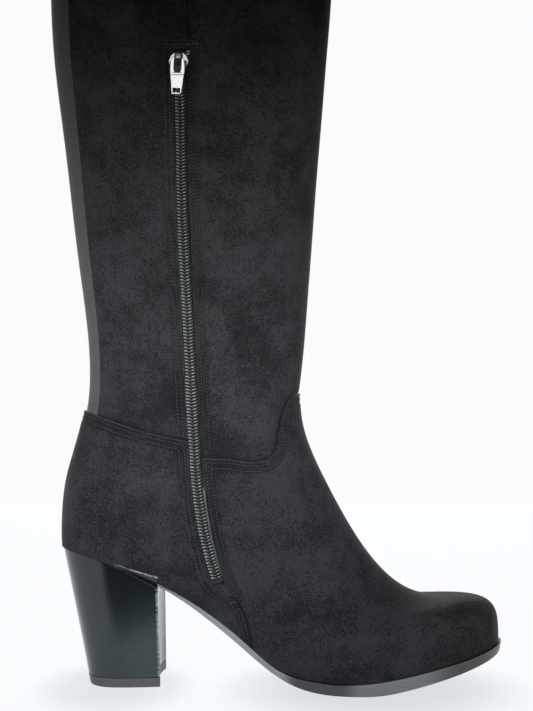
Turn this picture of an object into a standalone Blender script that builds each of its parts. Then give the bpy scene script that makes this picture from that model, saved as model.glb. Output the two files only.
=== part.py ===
"""Over-the-knee boot for the left foot, with a block heel, a back gore and an inner-side zip.

Frame: +X to the toe, +Y to the wearer's left (the outer side), +Z up, floor at z = 0.
The origin is on the floor, in the middle of the heel tip. Tables are in millimetres and
degrees; the meshes are written in metres.

The leather-like parts all follow one skin: a closed ring runs round the boot at each level,
from the feather line, where the upper meets the sole, up to the collar. `around` goes from 0
at the heel's back over the inner side to 0.5 at the toe or shin, and over the outer side
back to 1. `level` counts the rows of the RINGS table.
"""
import math
from functools import lru_cache

import bmesh
import bpy
import numpy as np
from mathutils import Euler, Matrix, Vector

MM = 0.001

# ---------------------------------------------------------------- driving dimensions, mm
GAP = 0.3                 # clearance between pieces that meet
FOOT_WALL = 1.8
SHAFT_WALL = 1.6
GORE_WALL = 1.4
LAP = 0.8                 # how far the foot part stands proud of the shaft at the ankle seam
LAP_FADE = 35.0           # height over which the shaft comes back out to the skin
GORE_INSET = (1.7, 0.5)   # how deep the gore lies under the skin, at the ankle and the collar

SLOT_WIDTH = 7.5
SLOT_BOTTOM = 52.5
SLOT_TOP = 348.0
ZIP_WALL = 1.6
ZIP_INSET = 0.7

SOLE_MARGIN = 1.6         # how far the forefoot sole stands out past the upper
WAIST_MARGIN = 0.5
HEEL_MARGIN = -1.0        # the upper overhangs the heel's back
TIP_THICK = 5.0
INSOLE_THICK = 2.0

# ---------------------------------------------------------------- sections of the skin
# One row for each ring. back_* and front_* are its ends in the side view, droop says how much
# of the feather line's sag it has, crown how far its sides drop below a flat toe top, swing how
# far the toe points inwards. *_in and *_out are half widths of the inner and outer side at
# heel, waist and ball; back_round and front_round are the shares of the length that are
# rounded, and fullness squares the front up (2 is an ellipse).
RING_COLUMNS = (
    "back_x", "back_z", "front_x", "front_z", "droop", "crown", "swing",
    "heel_in", "waist_in", "ball_in", "heel_out", "waist_out", "ball_out",
    "back_round", "front_round", "fullness",
)
RINGS = (
    (-36.5, 75.3, 209.8, 23.8, 1.00, 0.0, 6.0, 27.0, 24.0, 41.6, 28.0, 28.6, 43.0, 0.13, 0.33, 2.3),
    (-36.8, 83.5, 209.7, 31.0, 0.95, 0.0, 6.0, 29.0, 27.0, 43.0, 29.5, 31.0, 44.2, 0.13, 0.33, 2.3),
    (-36.6, 91.0, 208.9, 38.8, 0.86, 0.8, 6.0, 30.2, 28.8, 42.2, 30.5, 32.2, 43.4, 0.14, 0.33, 2.3),
    (-36.2, 98.0, 204.8, 45.8, 0.74, 3.2, 6.0, 30.8, 30.0, 39.8, 31.0, 33.0, 41.2, 0.15, 0.33, 2.2),
    (-35.6, 104.0, 192.6, 48.7, 0.55, 6.8, 5.6, 31.0, 30.6, 36.8, 31.2, 33.0, 38.4, 0.17, 0.32, 2.1),
    (-34.7, 110.0, 172.0, 46.4, 0.34, 7.8, 5.0, 31.0, 31.0, 35.0, 31.2, 32.8, 36.6, 0.19, 0.32, 2.0),
    (-33.3, 116.5, 154.6, 53.0, 0.20, 6.4, 4.0, 30.8, 31.2, 34.0, 31.0, 32.6, 35.4, 0.22, 0.35, 2.0),
    (-31.3, 123.5, 140.2, 66.6, 0.14, 4.0, 3.0, 30.6, 31.4, 33.4, 30.8, 32.4, 34.6, 0.26, 0.39, 2.0),
    (-29.1, 131.0, 127.4, 84.8, 0.11, 2.0, 2.0, 30.6, 31.4, 32.8, 30.8, 32.2, 33.8, 0.31, 0.43, 2.0),
    (-26.8, 139.0, 115.7, 106.4, 0.09, 0.8, 1.2, 30.8, 31.4, 32.2, 31.0, 32.0, 33.0, 0.37, 0.47, 2.0),
    (-24.7, 147.5, 104.6, 128.4, 0.06, 0.0, 0.6, 31.0, 31.2, 31.6, 31.0, 31.6, 32.2, 0.43, 0.49, 2.0),
    (-22.6, 157.5, 98.5, 150.0, 0.02, 0.0, 0.2, 31.0, 31.0, 31.2, 31.0, 31.2, 31.6, 0.48, 0.50, 2.0),
    (-21.8, 172.0, 99.9, 169.0, 0.00, 0.0, 0.0, 31.0, 31.0, 31.0, 31.2, 31.2, 31.4, 0.50, 0.50, 2.0),
    (-22.6, 191.0, 101.4, 190.0, 0.00, 0.0, 0.0, 31.2, 31.2, 31.2, 31.4, 31.4, 31.4, 0.50, 0.50, 2.0),
    (-25.4, 215.0, 103.2, 215.0, 0.00, 0.0, 0.0, 31.6, 31.6, 31.6, 31.8, 31.8, 31.8, 0.50, 0.50, 2.1),
    (-29.9, 247.0, 105.7, 247.0, 0.00, 0.0, 0.0, 32.2, 32.2, 32.2, 32.4, 32.4, 32.4, 0.50, 0.50, 2.1),
    (-33.3, 281.0, 108.1, 281.0, 0.00, 0.0, 0.0, 32.8, 32.8, 32.8, 33.0, 33.0, 33.0, 0.50, 0.50, 2.2),
    (-37.6, 315.0, 111.1, 315.0, 0.00, 0.0, 0.0, 33.2, 33.2, 33.2, 33.4, 33.4, 33.4, 0.50, 0.50, 2.2),
    (-42.0, 349.0, 113.7, 349.0, 0.00, 0.0, 0.0, 33.4, 33.4, 33.4, 33.6, 33.6, 33.6, 0.50, 0.50, 2.2),
    (-43.8, 383.0, 116.8, 383.0, 0.00, 0.0, 0.0, 33.4, 33.4, 33.4, 33.6, 33.6, 33.6, 0.50, 0.50, 2.2),
    (-43.6, 430.0, 118.6, 430.0, 0.00, 0.0, 0.0, 33.4, 33.4, 33.4, 33.6, 33.6, 33.6, 0.50, 0.50, 2.2),
    (-42.4, 485.0, 119.8, 485.0, 0.00, 0.0, 0.0, 33.6, 33.6, 33.6, 33.8, 33.8, 33.8, 0.50, 0.50, 2.2),
    (-43.6, 545.0, 123.4, 545.0, 0.00, 0.0, 0.0, 34.4, 34.4, 34.4, 34.6, 34.6, 34.6, 0.50, 0.50, 2.2),
    (-46.4, 600.0, 127.6, 600.0, 0.00, 0.0, 0.0, 35.4, 35.4, 35.4, 35.6, 35.6, 35.6, 0.50, 0.50, 2.2),
)
TOP_LEVEL = len(RINGS) - 1.0
ANKLE_LEVEL = 12
HEEL_SHARE = 0.14         # where along a ring the heel width ends and turns to the waist width
WAIST_SHARE = 0.40
BACK_FULLNESS = 2.1
SWING_SHARES = (0.4, 1.0) # the stretch of a ring that swings inwards, and the one that crowns
CROWN_SHARES = (0.3, 0.6)

# The feather line, side view: the arch between the heel seat and the ball, and the toe spring.
FEATHER = (
    (-36.5, 75.3), (-17.7, 71.6), (0.0, 65.8), (20.2, 57.4), (30.6, 52.4), (54.6, 36.2),
    (76.0, 17.9), (81.4, 13.3), (86.8, 10.0), (92.2, 8.3), (98.0, 7.5), (106.0, 6.7),
    (115.0, 6.2), (124.0, 6.4), (142.0, 8.4), (166.0, 13.4), (187.0, 18.0), (209.8, 23.8),
)

# The ankle seam: its height at each angle round the ring, 0 at the back and 180 at the shin.
SEAM_BEHIND_ZIP = ((0, 151.0), (25, 149.8), (46, 145.5), (62, 140.8), (80, 136.5), (92, 133.8))
SEAM_VAMP = (
    (95, 125.9), (108, 125.0), (116, 123.4), (122, 124.0), (128, 125.4), (134, 129.5), (140, 138.0),
    (145, 148.0), (151, 155.5), (161, 159.2), (180, 160.5),
)
SEAM_OUTER = SEAM_BEHIND_ZIP[:-1] + ((100, 128.6),) + SEAM_VAMP[2:]

# The zip's centre line, side view: it runs down the calf and forwards into the waist.
ZIP_LINE = (
    (50.0, 56.6), (57.3, 53.4), (71.0, 49.2), (87.3, 45.4), (103.5, 42.9), (119.8, 41.3), (152.3, 39.4),
    (201.0, 37.0), (276.9, 33.7), (341.9, 32.6), (360.0, 32.4),
)
INNER_SIDE = (0.05, 0.32) # the stretch of a ring that the zip and the heel's front lie in
ZIP_FOOT = {"around": 0.21, "below_level": 6.0}   # roughly where the slot ends
GORE_ANGLE = ((0.0, 32.0), (250.0, 32.0), (380.0, 34.0), (600.0, 35.0))

# The outsole: its under side in the side view. The middle part is flat on the floor.
TREAD = (
    (20.3, 55.6), (30.6, 49.8), (54.6, 31.3), (76.0, 13.0), (81.4, 9.0), (86.8, 5.6), (92.2, 3.2),
    (98.0, 1.7), (106.0, 0.2), (110.0, 0.0), (136.0, 0.0), (154.0, 3.2), (170.0, 7.0), (187.0, 11.4),
    (206.0, 17.0), (212.0, 19.2),
)
BREAST_X = 20.3           # where the outsole starts, at the heel's front
WAIST_END = (84.0, 104.0)   # where the thin waist turns into the thicker forefoot
WAIST_BEVEL, FOREFOOT_BEVEL = 2.4, 1.0

# The heel, in plan at its foot. It is widest at middle_x and squarish at the back.
HEEL_FOOT = {
    "back_x": -20.5, "middle_x": -2.0, "front_x": 21.2,
    "half_width": 23.6, "front_half_width": 21.6, "squareness": 2.9,
}
HEEL_OVERHANG = (-34.0, 0.0)   # between these x the heel's margin runs out to nothing
BREAST_HOLLOW = 2.6
HEEL_ROWS = ((0.0, 0.0), (0.08, 1.0), (0.5, 1.0), (1.0, 1.0))   # share of the height, of the hollow
BREAST_COLUMNS = 6
TIP_BACK_TAPER = 1.0

# The zip's hard pieces, about the hinge: x across, z up, h out of the boot.
SLIDER_X, SLIDER_Z = 32.2, 341.4
SLIDER_PLATE = 2.2
SLIDER_LIFT = 0.4         # the plate's back above the skin
PLATE_OUTLINE = (
    (1.8, 3.9), (4.2, 1.6), (5.4, -1.6), (4.1, -4.2), (3.6, -7.5),
    (-3.6, -7.5), (-4.1, -4.2), (-5.4, -1.6), (-4.2, 1.6), (-1.8, 3.9),
)
HINGE_OUT = 1.25          # the pull's bar above the slider's plate
CROWN_WIDTH = 2.6
CROWN_OUTER, CROWN_INNER = (3.3, 3.1), (2.3, 2.2)   # half length and height of the arch
CROWN_ROOT = 0.4          # how deep the arch's feet sink into the plate
PULL_THICK = 1.0
PULL_SHIFT = -0.3
PULL_LEAN = 2.5           # degrees that the pull hangs off the vertical
PULL_HALF_OUTLINE = ((2.6, 0.6), (3.2, 0.0), (3.9, -4.0), (3.75, -8.0), (2.6, -18.8), (2.2, -19.2))
PULL_SLOT = {"half_width": 2.0, "top": -0.6, "bottom": -7.9}
PULL_HOLE = ((-1.9, -15.9), (1.9, -15.9), (1.85, -18.4), (-1.85, -18.4))
STOP_SIZE = (5.8, 1.3, 2.0)
STOP_HEIGHT = 59.4
STOP_ROUNDING = 0.35

# The grid: how many columns and rows each stretch of skin gets.
GORE_COLUMNS, BACK_COLUMNS, FRONT_COLUMNS = 3, 5, 16
LOW_ROWS, FOOT_ROWS, SHAFT_ROWS, TOP_ROWS = 3, 13, 9, 5
SOLE_SHARE = 0.55         # the front columns follow even steps at the sole more than at the ankle
CHAIN_START = 0.006       # how far up the slot the zip's strip starts, as a share of its height
LEAST_STEP = 0.004        # stations nearer than this to the breast are left out


# ---------------------------------------------------------------- curves through tables
def smooth(table, at):
    """Height of a monotone cubic curve through (x, y) pairs."""
    xs, ys = np.asarray(table, float).T
    steps = np.diff(xs)
    slopes = np.diff(ys) / steps
    tangents = np.concatenate(([slopes[0]], (slopes[:-1] + slopes[1:]) / 2, [slopes[-1]]))
    for i in range(1, len(xs) - 1):
        if slopes[i - 1] * slopes[i] <= 0:
            tangents[i] = 0.0
        else:
            limit = 3 * min(abs(slopes[i - 1]), abs(slopes[i]))
            tangents[i] = math.copysign(min(abs(tangents[i]), limit), tangents[i])
    at = min(max(at, xs[0]), xs[-1])
    i = min(int(np.searchsorted(xs, at, side="right")) - 1, len(steps) - 1)
    t = (at - xs[i]) / steps[i]
    return (
        ys[i] * (1 + 2 * t) * (1 - t) ** 2
        + ys[i + 1] * t * t * (3 - 2 * t)
        + steps[i] * (tangents[i] * t * (1 - t) ** 2 - tangents[i + 1] * t * t * (1 - t))
    )


@lru_cache(maxsize=4096)
def ring(level):
    """The ring's sizes at a level between the rows, as a Catmull-Rom curve through them."""
    level = min(max(level, 0.0), TOP_LEVEL)
    i = min(int(level), len(RINGS) - 2)
    t = level - i
    rows = [np.asarray(RINGS[min(max(i + k, 0), len(RINGS) - 1)]) for k in (-1, 0, 1, 2)]
    if i == 0:
        rows[0] = 2 * rows[1] - rows[2]
    if i == len(RINGS) - 2:
        rows[3] = 2 * rows[2] - rows[1]
    values = 0.5 * (
        2 * rows[1]
        + (rows[2] - rows[0]) * t
        + (2 * rows[0] - 5 * rows[1] + 4 * rows[2] - rows[3]) * t ** 2
        + (3 * rows[1] - rows[0] - 3 * rows[2] + rows[3]) * t ** 3
    )
    return dict(zip(RING_COLUMNS, values))


def ease(low, high, x):
    t = min(max((x - low) / (high - low), 0.0), 1.0)
    return t * t * (3 - 2 * t)


def solve(function, low, high):
    """Where a rising function crosses zero."""
    for _ in range(40):
        middle = (low + high) / 2
        if function(middle) < 0:
            low = middle
        else:
            high = middle
    return (low + high) / 2


# ---------------------------------------------------------------- the skin
def feather_sag(share):
    """How far the feather line hangs below the straight line between its ends."""
    (x0, z0), (x1, z1) = FEATHER[0], FEATHER[-1]
    return z0 + (z1 - z0) * share - smooth(FEATHER, x0 + (x1 - x0) * share)


def skin(around, level):
    """Point of the boot's outer skin, mm."""
    around = around % 1.0
    r = ring(level)
    inner = around <= 0.5
    share = (1 - math.cos(2 * math.pi * around)) / 2
    side = "_in" if inner else "_out"
    ball_share = 1 - r["front_round"]
    width = r["heel" + side]
    width += (r["waist" + side] - r["heel" + side]) * ease(HEEL_SHARE, WAIST_SHARE, share)
    width += (r["ball" + side] - r["waist" + side]) * ease(WAIST_SHARE, max(ball_share, 0.5), share)
    envelope = 1.0
    if share < r["back_round"]:
        envelope = math.sqrt(max(1 - ((r["back_round"] - share) / r["back_round"]) ** BACK_FULLNESS, 0.0))
    elif share > ball_share:
        front = (share - ball_share) / r["front_round"]
        envelope = math.sqrt(max(1 - front ** r["fullness"], 0.0))
    x = r["back_x"] + (r["front_x"] - r["back_x"]) * share
    y = width * envelope * (-1 if inner else 1) - r["swing"] * ease(*SWING_SHARES, share)
    z = r["back_z"] + (r["front_z"] - r["back_z"]) * share - r["droop"] * feather_sag(share)
    z -= r["crown"] * envelope ** 2 * ease(*CROWN_SHARES, share)
    return np.array((x, y, z))


def outward(around, level):
    """Unit normal of the skin, pointing out of the boot."""
    step, rise = 0.002, 0.02
    low, high = max(level - rise, 0.0), min(level + rise, TOP_LEVEL)
    normal = np.cross(
        skin(around + step, level) - skin(around - step, level),
        skin(around, high) - skin(around, low),
    )
    return normal / np.linalg.norm(normal)


def offset_skin(around, level, offset):
    return skin(around, level) + offset * outward(around, level)


def level_at_height(around, height):
    return solve(lambda level: skin(around, level)[2] - height, 0.0, TOP_LEVEL)


def seam_height(around, vamp_side):
    angle = 360 * around
    if angle > 180:
        return smooth(SEAM_OUTER, 360 - angle)
    return smooth(SEAM_VAMP if vamp_side else SEAM_BEHIND_ZIP, angle)


def move_along(around, level, distance):
    """The `around` value a distance further round the ring."""
    step = 0.0005
    speed = np.linalg.norm(skin(around + step, level) - skin(around - step, level)) / (2 * step)
    return around + distance / speed


# ---------------------------------------------------------------- the grid's lines
SLOT_FLOOR = solve(
    lambda level: skin(ZIP_FOOT["around"], level)[2] - SLOT_BOTTOM, 0.0, ZIP_FOOT["below_level"]
)
SLOT_CEILING = level_at_height(0.25, SLOT_TOP)


@lru_cache(maxsize=4096)
def zip_around(level):
    """Where the zip's centre line crosses a ring on the inner side."""
    level = max(level, SLOT_FLOOR)

    def ahead(around):
        point = skin(around, level)
        return point[0] - smooth(ZIP_LINE, point[2])

    return solve(ahead, *INNER_SIDE)


def beside_zip(level, distance):
    """The `around` value a distance from the zip, measured square to its centre line."""
    middle = zip_around(level)
    step, lift = 0.001, 0.2
    low = min(level, TOP_LEVEL - lift)
    run = skin(middle + step, level) - skin(middle - step, level)
    rise = skin(zip_around(low + lift), low + lift) - skin(zip_around(low), low)
    slant = np.linalg.norm(np.cross(run, rise)) / (np.linalg.norm(run) * np.linalg.norm(rise))
    return move_along(middle, level, distance / slant)


def gore_around(level):
    return smooth(GORE_ANGLE, skin(0.0, level)[2]) / 360


def even_shares(start, end, count, level):
    """Shares between two columns that make equal steps along a ring."""
    fine = np.linspace(start, end, 200)
    points = np.array([skin(a, level) for a in fine])
    lengths = np.concatenate(([0], np.cumsum(np.linalg.norm(np.diff(points, axis=0), axis=1))))
    places = np.interp(np.linspace(0, lengths[-1], count + 1), lengths, fine)
    return (places - start) / (end - start)


FRONT_SHARES = (
    SOLE_SHARE * even_shares(zip_around(0), 0.5, FRONT_COLUMNS, 0.0)
    + (1 - SOLE_SHARE) * even_shares(zip_around(ANKLE_LEVEL), 0.5, FRONT_COLUMNS, ANKLE_LEVEL)
)


@lru_cache(maxsize=4096)
def inner_columns(level):
    """The inner side's columns at a level, from the back to the front; the slot is one of them."""
    gore = gore_around(level)
    behind = beside_zip(max(level, SLOT_FLOOR), -SLOT_WIDTH / 2)
    ahead = beside_zip(max(level, SLOT_FLOOR), SLOT_WIDTH / 2)
    return np.concatenate((
        np.linspace(0, gore, GORE_COLUMNS + 1),
        np.linspace(gore, behind, BACK_COLUMNS + 1)[1:],
        ahead + (0.5 - ahead) * FRONT_SHARES,
    ))


SLOT_COLUMN = GORE_COLUMNS + BACK_COLUMNS
HALF = SLOT_COLUMN + 1 + FRONT_COLUMNS


def columns(level):
    """All columns round the ring; the outer side mirrors the inner one."""
    inner = inner_columns(level)
    return np.concatenate((inner, 1 - inner[-2:0:-1]))


def seam_level(column, gap):
    """The level of the ankle seam on a column, a gap above or below it."""
    level = ANKLE_LEVEL
    for _ in range(6):
        around = columns(level)[column]
        height = seam_height(around, column > SLOT_COLUMN)
        level = level_at_height(around, height)
    step = 0.1
    rise = skin(around, level + step / 2) - skin(around, level - step / 2)
    return level + gap * step / np.linalg.norm(rise)


# ---------------------------------------------------------------- making meshes
def material(name, colour, roughness, metallic=0.0):
    made = bpy.data.materials.new(name)
    made.use_nodes = True
    shader = made.node_tree.nodes["Principled BSDF"]
    shader.inputs["Base Color"].default_value = (*colour, 1.0)
    shader.inputs["Roughness"].default_value = roughness
    shader.inputs["Metallic"].default_value = metallic
    made.diffuse_color = (*colour, 1.0)
    return made


def new_object(name, mesh, collection, finish):
    made = bpy.data.objects.new(name, mesh)
    collection.objects.link(made)
    mesh.materials.append(finish)
    mesh.shade_smooth()
    mesh.set_sharp_from_angle(angle=math.radians(40))
    return made


def grid_mesh(name, points, wraps, keep):
    """A sheet of quads through rows of points in mm; keep says which faces it has."""
    rows, count = len(points), len(points[0])
    bm = bmesh.new()
    verts = {}

    def vert(i, j):
        j = j % count
        if (i, j) not in verts:
            verts[i, j] = bm.verts.new(Vector(points[i][j]) * MM)
        return verts[i, j]

    for i in range(rows - 1):
        for j in range(count if wraps else count - 1):
            if keep(i, j):
                bm.faces.new((vert(i, j), vert(i, j + 1), vert(i + 1, j + 1), vert(i + 1, j)))
    mesh = bpy.data.meshes.new(name)
    bm.to_mesh(mesh)
    bm.free()
    return mesh


def add_wall(made, thickness):
    """Give an outward-facing sheet its thickness, on the inside."""
    wall = made.modifiers.new("wall", "SOLIDIFY")
    wall.thickness = thickness * MM
    wall.offset = -1
    wall.use_even_offset = True
    return wall


# ---------------------------------------------------------------- the upper, shaft, gore and zip
def seam_fade(point, seam_z):
    return 1 - ease(0.0, LAP_FADE, point[2] - seam_z)


def make_upper(collection, finish):
    """The foot part: closed at the heel and toe, open at the ankle, the slot and underneath."""
    count = 2 * HALF
    seam = [seam_level(j, -GAP / 2) for j in range(count)]
    shares = np.linspace(0, 1, FOOT_ROWS + 1)[1:]
    points = []
    for low in np.linspace(0, SLOT_FLOOR, LOW_ROWS + 1):
        points.append([skin(a, low) for a in columns(low)])
    for share in shares:
        levels = [SLOT_FLOOR + (top - SLOT_FLOOR) * share for top in seam]
        points.append([skin(columns(level)[j], level) for j, level in enumerate(levels)])
    mesh = grid_mesh("upper", points, True, lambda i, j: j != SLOT_COLUMN or i < LOW_ROWS)
    return add_wall(new_object("upper", mesh, collection, finish), FOOT_WALL)


def make_shaft(collection, finish):
    """The leg: a wall from gore to gore round the front, with the zip's slot in its inner side."""
    first, last = GORE_COLUMNS, 2 * HALF - GORE_COLUMNS
    used = list(range(first, last + 1))
    seam = {j: seam_level(j, GAP / 2) for j in used}
    seam_z = {j: skin(columns(seam[j])[j], seam[j])[2] for j in used}
    points = []
    for i in range(SHAFT_ROWS + TOP_ROWS + 1):
        row = []
        for j in used:
            if i <= SHAFT_ROWS:
                level = seam[j] + (SLOT_CEILING - seam[j]) * i / SHAFT_ROWS
            else:
                level = SLOT_CEILING + (TOP_LEVEL - SLOT_CEILING) * (i - SHAFT_ROWS) / TOP_ROWS
            around = columns(level)[j]
            if j == first:
                around = move_along(around, level, GAP / 2)
            if j == last:
                around = move_along(around, level, -GAP / 2)
            inset = LAP * seam_fade(skin(around, level), seam_z[j])
            row.append(offset_skin(around, level, -inset))
        points.append(row)
    slot = SLOT_COLUMN - first
    mesh = grid_mesh("shaft", points, False, lambda i, j: j != slot or i >= SHAFT_ROWS)
    return add_wall(new_object("shaft", mesh, collection, finish), SHAFT_WALL)


def make_gore(collection, finish):
    """The elastic panel that closes the shaft's back, a little under the skin."""
    count = 2 * HALF
    used = [j % count for j in range(-GORE_COLUMNS, GORE_COLUMNS + 1)]
    seam = [seam_level(j, GAP / 2) for j in used]
    points = []
    for i in range(SHAFT_ROWS + TOP_ROWS + 1):
        row = []
        for place, j in enumerate(used):
            if i <= SHAFT_ROWS:
                level = seam[place] + (SLOT_CEILING - seam[place]) * i / SHAFT_ROWS
            else:
                level = SLOT_CEILING + (TOP_LEVEL - SLOT_CEILING) * (i - SHAFT_ROWS) / TOP_ROWS
            around = columns(level)[j]
            if place == 0:
                around = move_along(around, level, GAP / 2)
            if place == len(used) - 1:
                around = move_along(around, level, -GAP / 2)
            depth = GORE_INSET[0] + (GORE_INSET[1] - GORE_INSET[0]) * i / (SHAFT_ROWS + TOP_ROWS)
            row.append(offset_skin(around, level, -depth))
        points.append(row)
    mesh = grid_mesh("back_gore", points, False, lambda i, j: True)
    return add_wall(new_object("back_gore", mesh, collection, finish), GORE_WALL)


def make_zip_chain(collection, finish):
    """The closed chain and its tape: a narrow strip that fills the slot."""
    half = SLOT_WIDTH / 2 - GAP
    seam = seam_level(SLOT_COLUMN, 0.0)
    end = level_at_height(zip_around(SLOT_CEILING), SLOT_TOP - 2 * GAP)
    start = SLOT_FLOOR + (seam - SLOT_FLOOR) * CHAIN_START
    levels = np.concatenate((
        [start],
        np.linspace(SLOT_FLOOR, seam, FOOT_ROWS + 1)[1:-1],
        np.linspace(seam, SLOT_CEILING, SHAFT_ROWS + 1)[:-1],
        [end],
    ))
    points = []
    for level in levels:
        row = [offset_skin(beside_zip(level, side), level, -ZIP_INSET) for side in (-half, half)]
        points.append(row)
    mesh = grid_mesh("zip_chain", points, False, lambda i, j: True)
    return add_wall(new_object("zip_chain", mesh, collection, finish), ZIP_WALL)


# ---------------------------------------------------------------- sole, heel and insole
def plan_normal(around):
    """Outward direction of the feather line in plan."""
    step = 0.002
    run = skin(around + step, 0.0) - skin(around - step, 0.0)
    return np.array((run[1], -run[0], 0.0)) / math.hypot(run[0], run[1])


def beside_feather(around, margin, line, rise):
    """Point margin mm outside the feather line, rise mm above a side-view line there."""
    x, y, _ = skin(around, 0.0) + margin * plan_normal(around)
    return (x, y, smooth(line, x) + rise)


def breast_around():
    return solve(lambda around: skin(around, 0.0)[0] - BREAST_X, *INNER_SIDE)


def bridge_sections(name, sections):
    """A solid through four-cornered sections; an end with two points closes to an edge."""
    bm = bmesh.new()
    rings = []
    for section in sections:
        made = [bm.verts.new(Vector(point) * MM) for point in section]
        rings.append(made if len(made) == 4 else [made[0], made[1], made[1], made[0]])
    for first, second in zip(rings, rings[1:]):
        for k in range(4):
            after = (k + 1) % 4
            corners = dict.fromkeys((first[k], first[after], second[after], second[k]))
            if len(corners) > 2:
                bm.faces.new(list(corners))
    for end in (rings[0], rings[-1]):
        if len(set(end)) == 4:
            bm.faces.new(end)
    bmesh.ops.recalc_face_normals(bm, faces=bm.faces[:])
    mesh = bpy.data.meshes.new(name)
    bm.to_mesh(mesh)
    bm.free()
    return mesh


def make_outsole(collection, finish):
    """From the heel's front to the toe: a thin bevelled waist and a thicker forefoot."""
    start = breast_around()
    stations = [start] + [around for around in inner_columns(0.0) if around > start + LEAST_STEP]
    sections = []
    for around in stations:
        fore = ease(*WAIST_END, skin(around, 0.0)[0])
        margin = WAIST_MARGIN + (SOLE_MARGIN - WAIST_MARGIN) * fore
        bevel = WAIST_BEVEL + (FOREFOOT_BEVEL - WAIST_BEVEL) * fore
        sides = (around,) if around == 0.5 else (around, 1 - around)
        top = [beside_feather(side, margin, FEATHER, -GAP) for side in sides]
        bottom = [beside_feather(side, margin - bevel, TREAD, 0.0) for side in sides]
        sections.append([top[0], *bottom, *top[1:]])
    return new_object("outsole", bridge_sections("outsole", sections), collection, finish)


def make_insole(collection, finish):
    """Lies on the sole and the heel seat, inside the upper."""
    inset = -(FOOT_WALL + 2 * GAP)
    sections = []
    for around in inner_columns(0.0):
        sides = (around,) if around in (0.0, 0.5) else (around, 1 - around)
        top = [beside_feather(side, inset, FEATHER, INSOLE_THICK) for side in sides]
        bottom = [beside_feather(side, inset, FEATHER, 0.0) for side in sides]
        sections.append([top[0], *bottom, *top[1:]])
    return new_object("insole", bridge_sections("insole", sections), collection, finish)


def along(points, shares):
    """Points at shares of a polyline's length."""
    points = np.asarray(points, float)
    lengths = np.concatenate(([0], np.cumsum(np.linalg.norm(np.diff(points, axis=0), axis=1))))
    at = np.asarray(shares) * lengths[-1]
    return np.column_stack([np.interp(at, lengths, column) for column in points.T])


def heel_foot_half(shares, back_shift):
    """Half outline of the heel's foot in plan, from the back to the breast, as (x, y)."""
    foot = HEEL_FOOT
    back = foot["back_x"] + back_shift
    power = 2 / foot["squareness"]
    curve = []
    for angle in np.linspace(0, math.pi / 2, 40):
        x = foot["middle_x"] - (foot["middle_x"] - back) * math.cos(angle) ** power
        curve.append((x, foot["half_width"] * math.sin(angle) ** power))
    for share in np.linspace(0, 1, 10)[1:]:
        x = foot["middle_x"] + (foot["front_x"] - foot["middle_x"]) * share
        narrowing = (foot["half_width"] - foot["front_half_width"]) * share ** 2
        curve.append((x, foot["half_width"] - narrowing))
    return along(curve, shares)


def heel_seat():
    """Outline of the heel's top, inner breast edge round the back to the outer breast edge."""
    start = solve(lambda around: skin(around, 0.0)[0] - (BREAST_X - GAP), *INNER_SIDE)
    half = [around for around in inner_columns(0.0) if around < start - LEAST_STEP] + [start]
    seat = []
    for around in half[::-1] + [1 - around for around in half[1:]]:
        margin = HEEL_MARGIN * (1 - ease(*HEEL_OVERHANG, skin(around, 0.0)[0]))
        seat.append(beside_feather(around, margin, FEATHER, -GAP))
    return np.array(seat)


def heel_shares():
    """How far round the half outline each point of the heel lies."""
    seat = heel_seat()
    half = seat[len(seat) // 2:, :2]
    lengths = np.concatenate(([0], np.cumsum(np.linalg.norm(np.diff(half, axis=0), axis=1))))
    return lengths / lengths[-1]


def heel_foot(z, back_shift=0.0):
    half = heel_foot_half(heel_shares(), back_shift)
    outer = [(x, y, z) for x, y in half]
    return np.array([(x, -y, z) for x, y, z in outer[:0:-1]] + outer)


def close_breast(outline, hollow, line=None):
    """Add the hollow breast to an open heel outline; line gives its heights in the side view."""
    first, last = outline[0], outline[-1]
    points = list(outline)
    for k in range(1, BREAST_COLUMNS):
        share = k / BREAST_COLUMNS
        point = last + (first - last) * share
        point[0] -= hollow * (1 - (2 * share - 1) ** 2)
        if line is not None:
            point[2] = smooth(line, point[0]) - GAP
        points.append(point)
    return points


def stack_loops(name, loops, seat_count):
    """A solid through loops from the top down; the top is laid as rungs across seat_count points."""
    bm = bmesh.new()
    rows = [[bm.verts.new(Vector(point) * MM) for point in loop] for loop in loops]
    for upper_row, lower_row in zip(rows, rows[1:]):
        for k, vert in enumerate(upper_row):
            after = (k + 1) % len(upper_row)
            bm.faces.new((vert, upper_row[after], lower_row[after], lower_row[k]))
    seat, breast = rows[0][:seat_count], rows[0][seat_count:]
    bm.faces.new([seat[-2], seat[-1], *breast, seat[0], seat[1]])
    for k in range(1, seat_count // 2):
        rung = dict.fromkeys((seat[k], seat[k + 1], seat[-2 - k], seat[-1 - k]))
        bm.faces.new(list(rung))
    bm.faces.new(rows[-1])
    bmesh.ops.recalc_face_normals(bm, faces=bm.faces[:])
    mesh = bpy.data.meshes.new(name)
    bm.to_mesh(mesh)
    bm.free()
    return mesh


def make_heel_block(collection, finish):
    """Straight walls from the seat to the tip, with a hollow breast."""
    seat, foot = heel_seat(), heel_foot(TIP_THICK + GAP)
    loops = []
    for drop, hollow in HEEL_ROWS:
        outline = seat + (foot - seat) * drop
        loops.append(close_breast(outline, hollow * BREAST_HOLLOW, None if drop else FEATHER))
    mesh = stack_loops("heel_block", loops, len(seat))
    return new_object("heel_block", mesh, collection, finish)


def make_heel_tip(collection, finish):
    """The hard-wearing piece that stands on the floor."""
    top, bottom = heel_foot(TIP_THICK), heel_foot(0.0, TIP_BACK_TAPER)
    loops = [close_breast(outline, BREAST_HOLLOW) for outline in (top, bottom)]
    return new_object("heel_tip", stack_loops("heel_tip", loops, len(top)), collection, finish)


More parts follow.
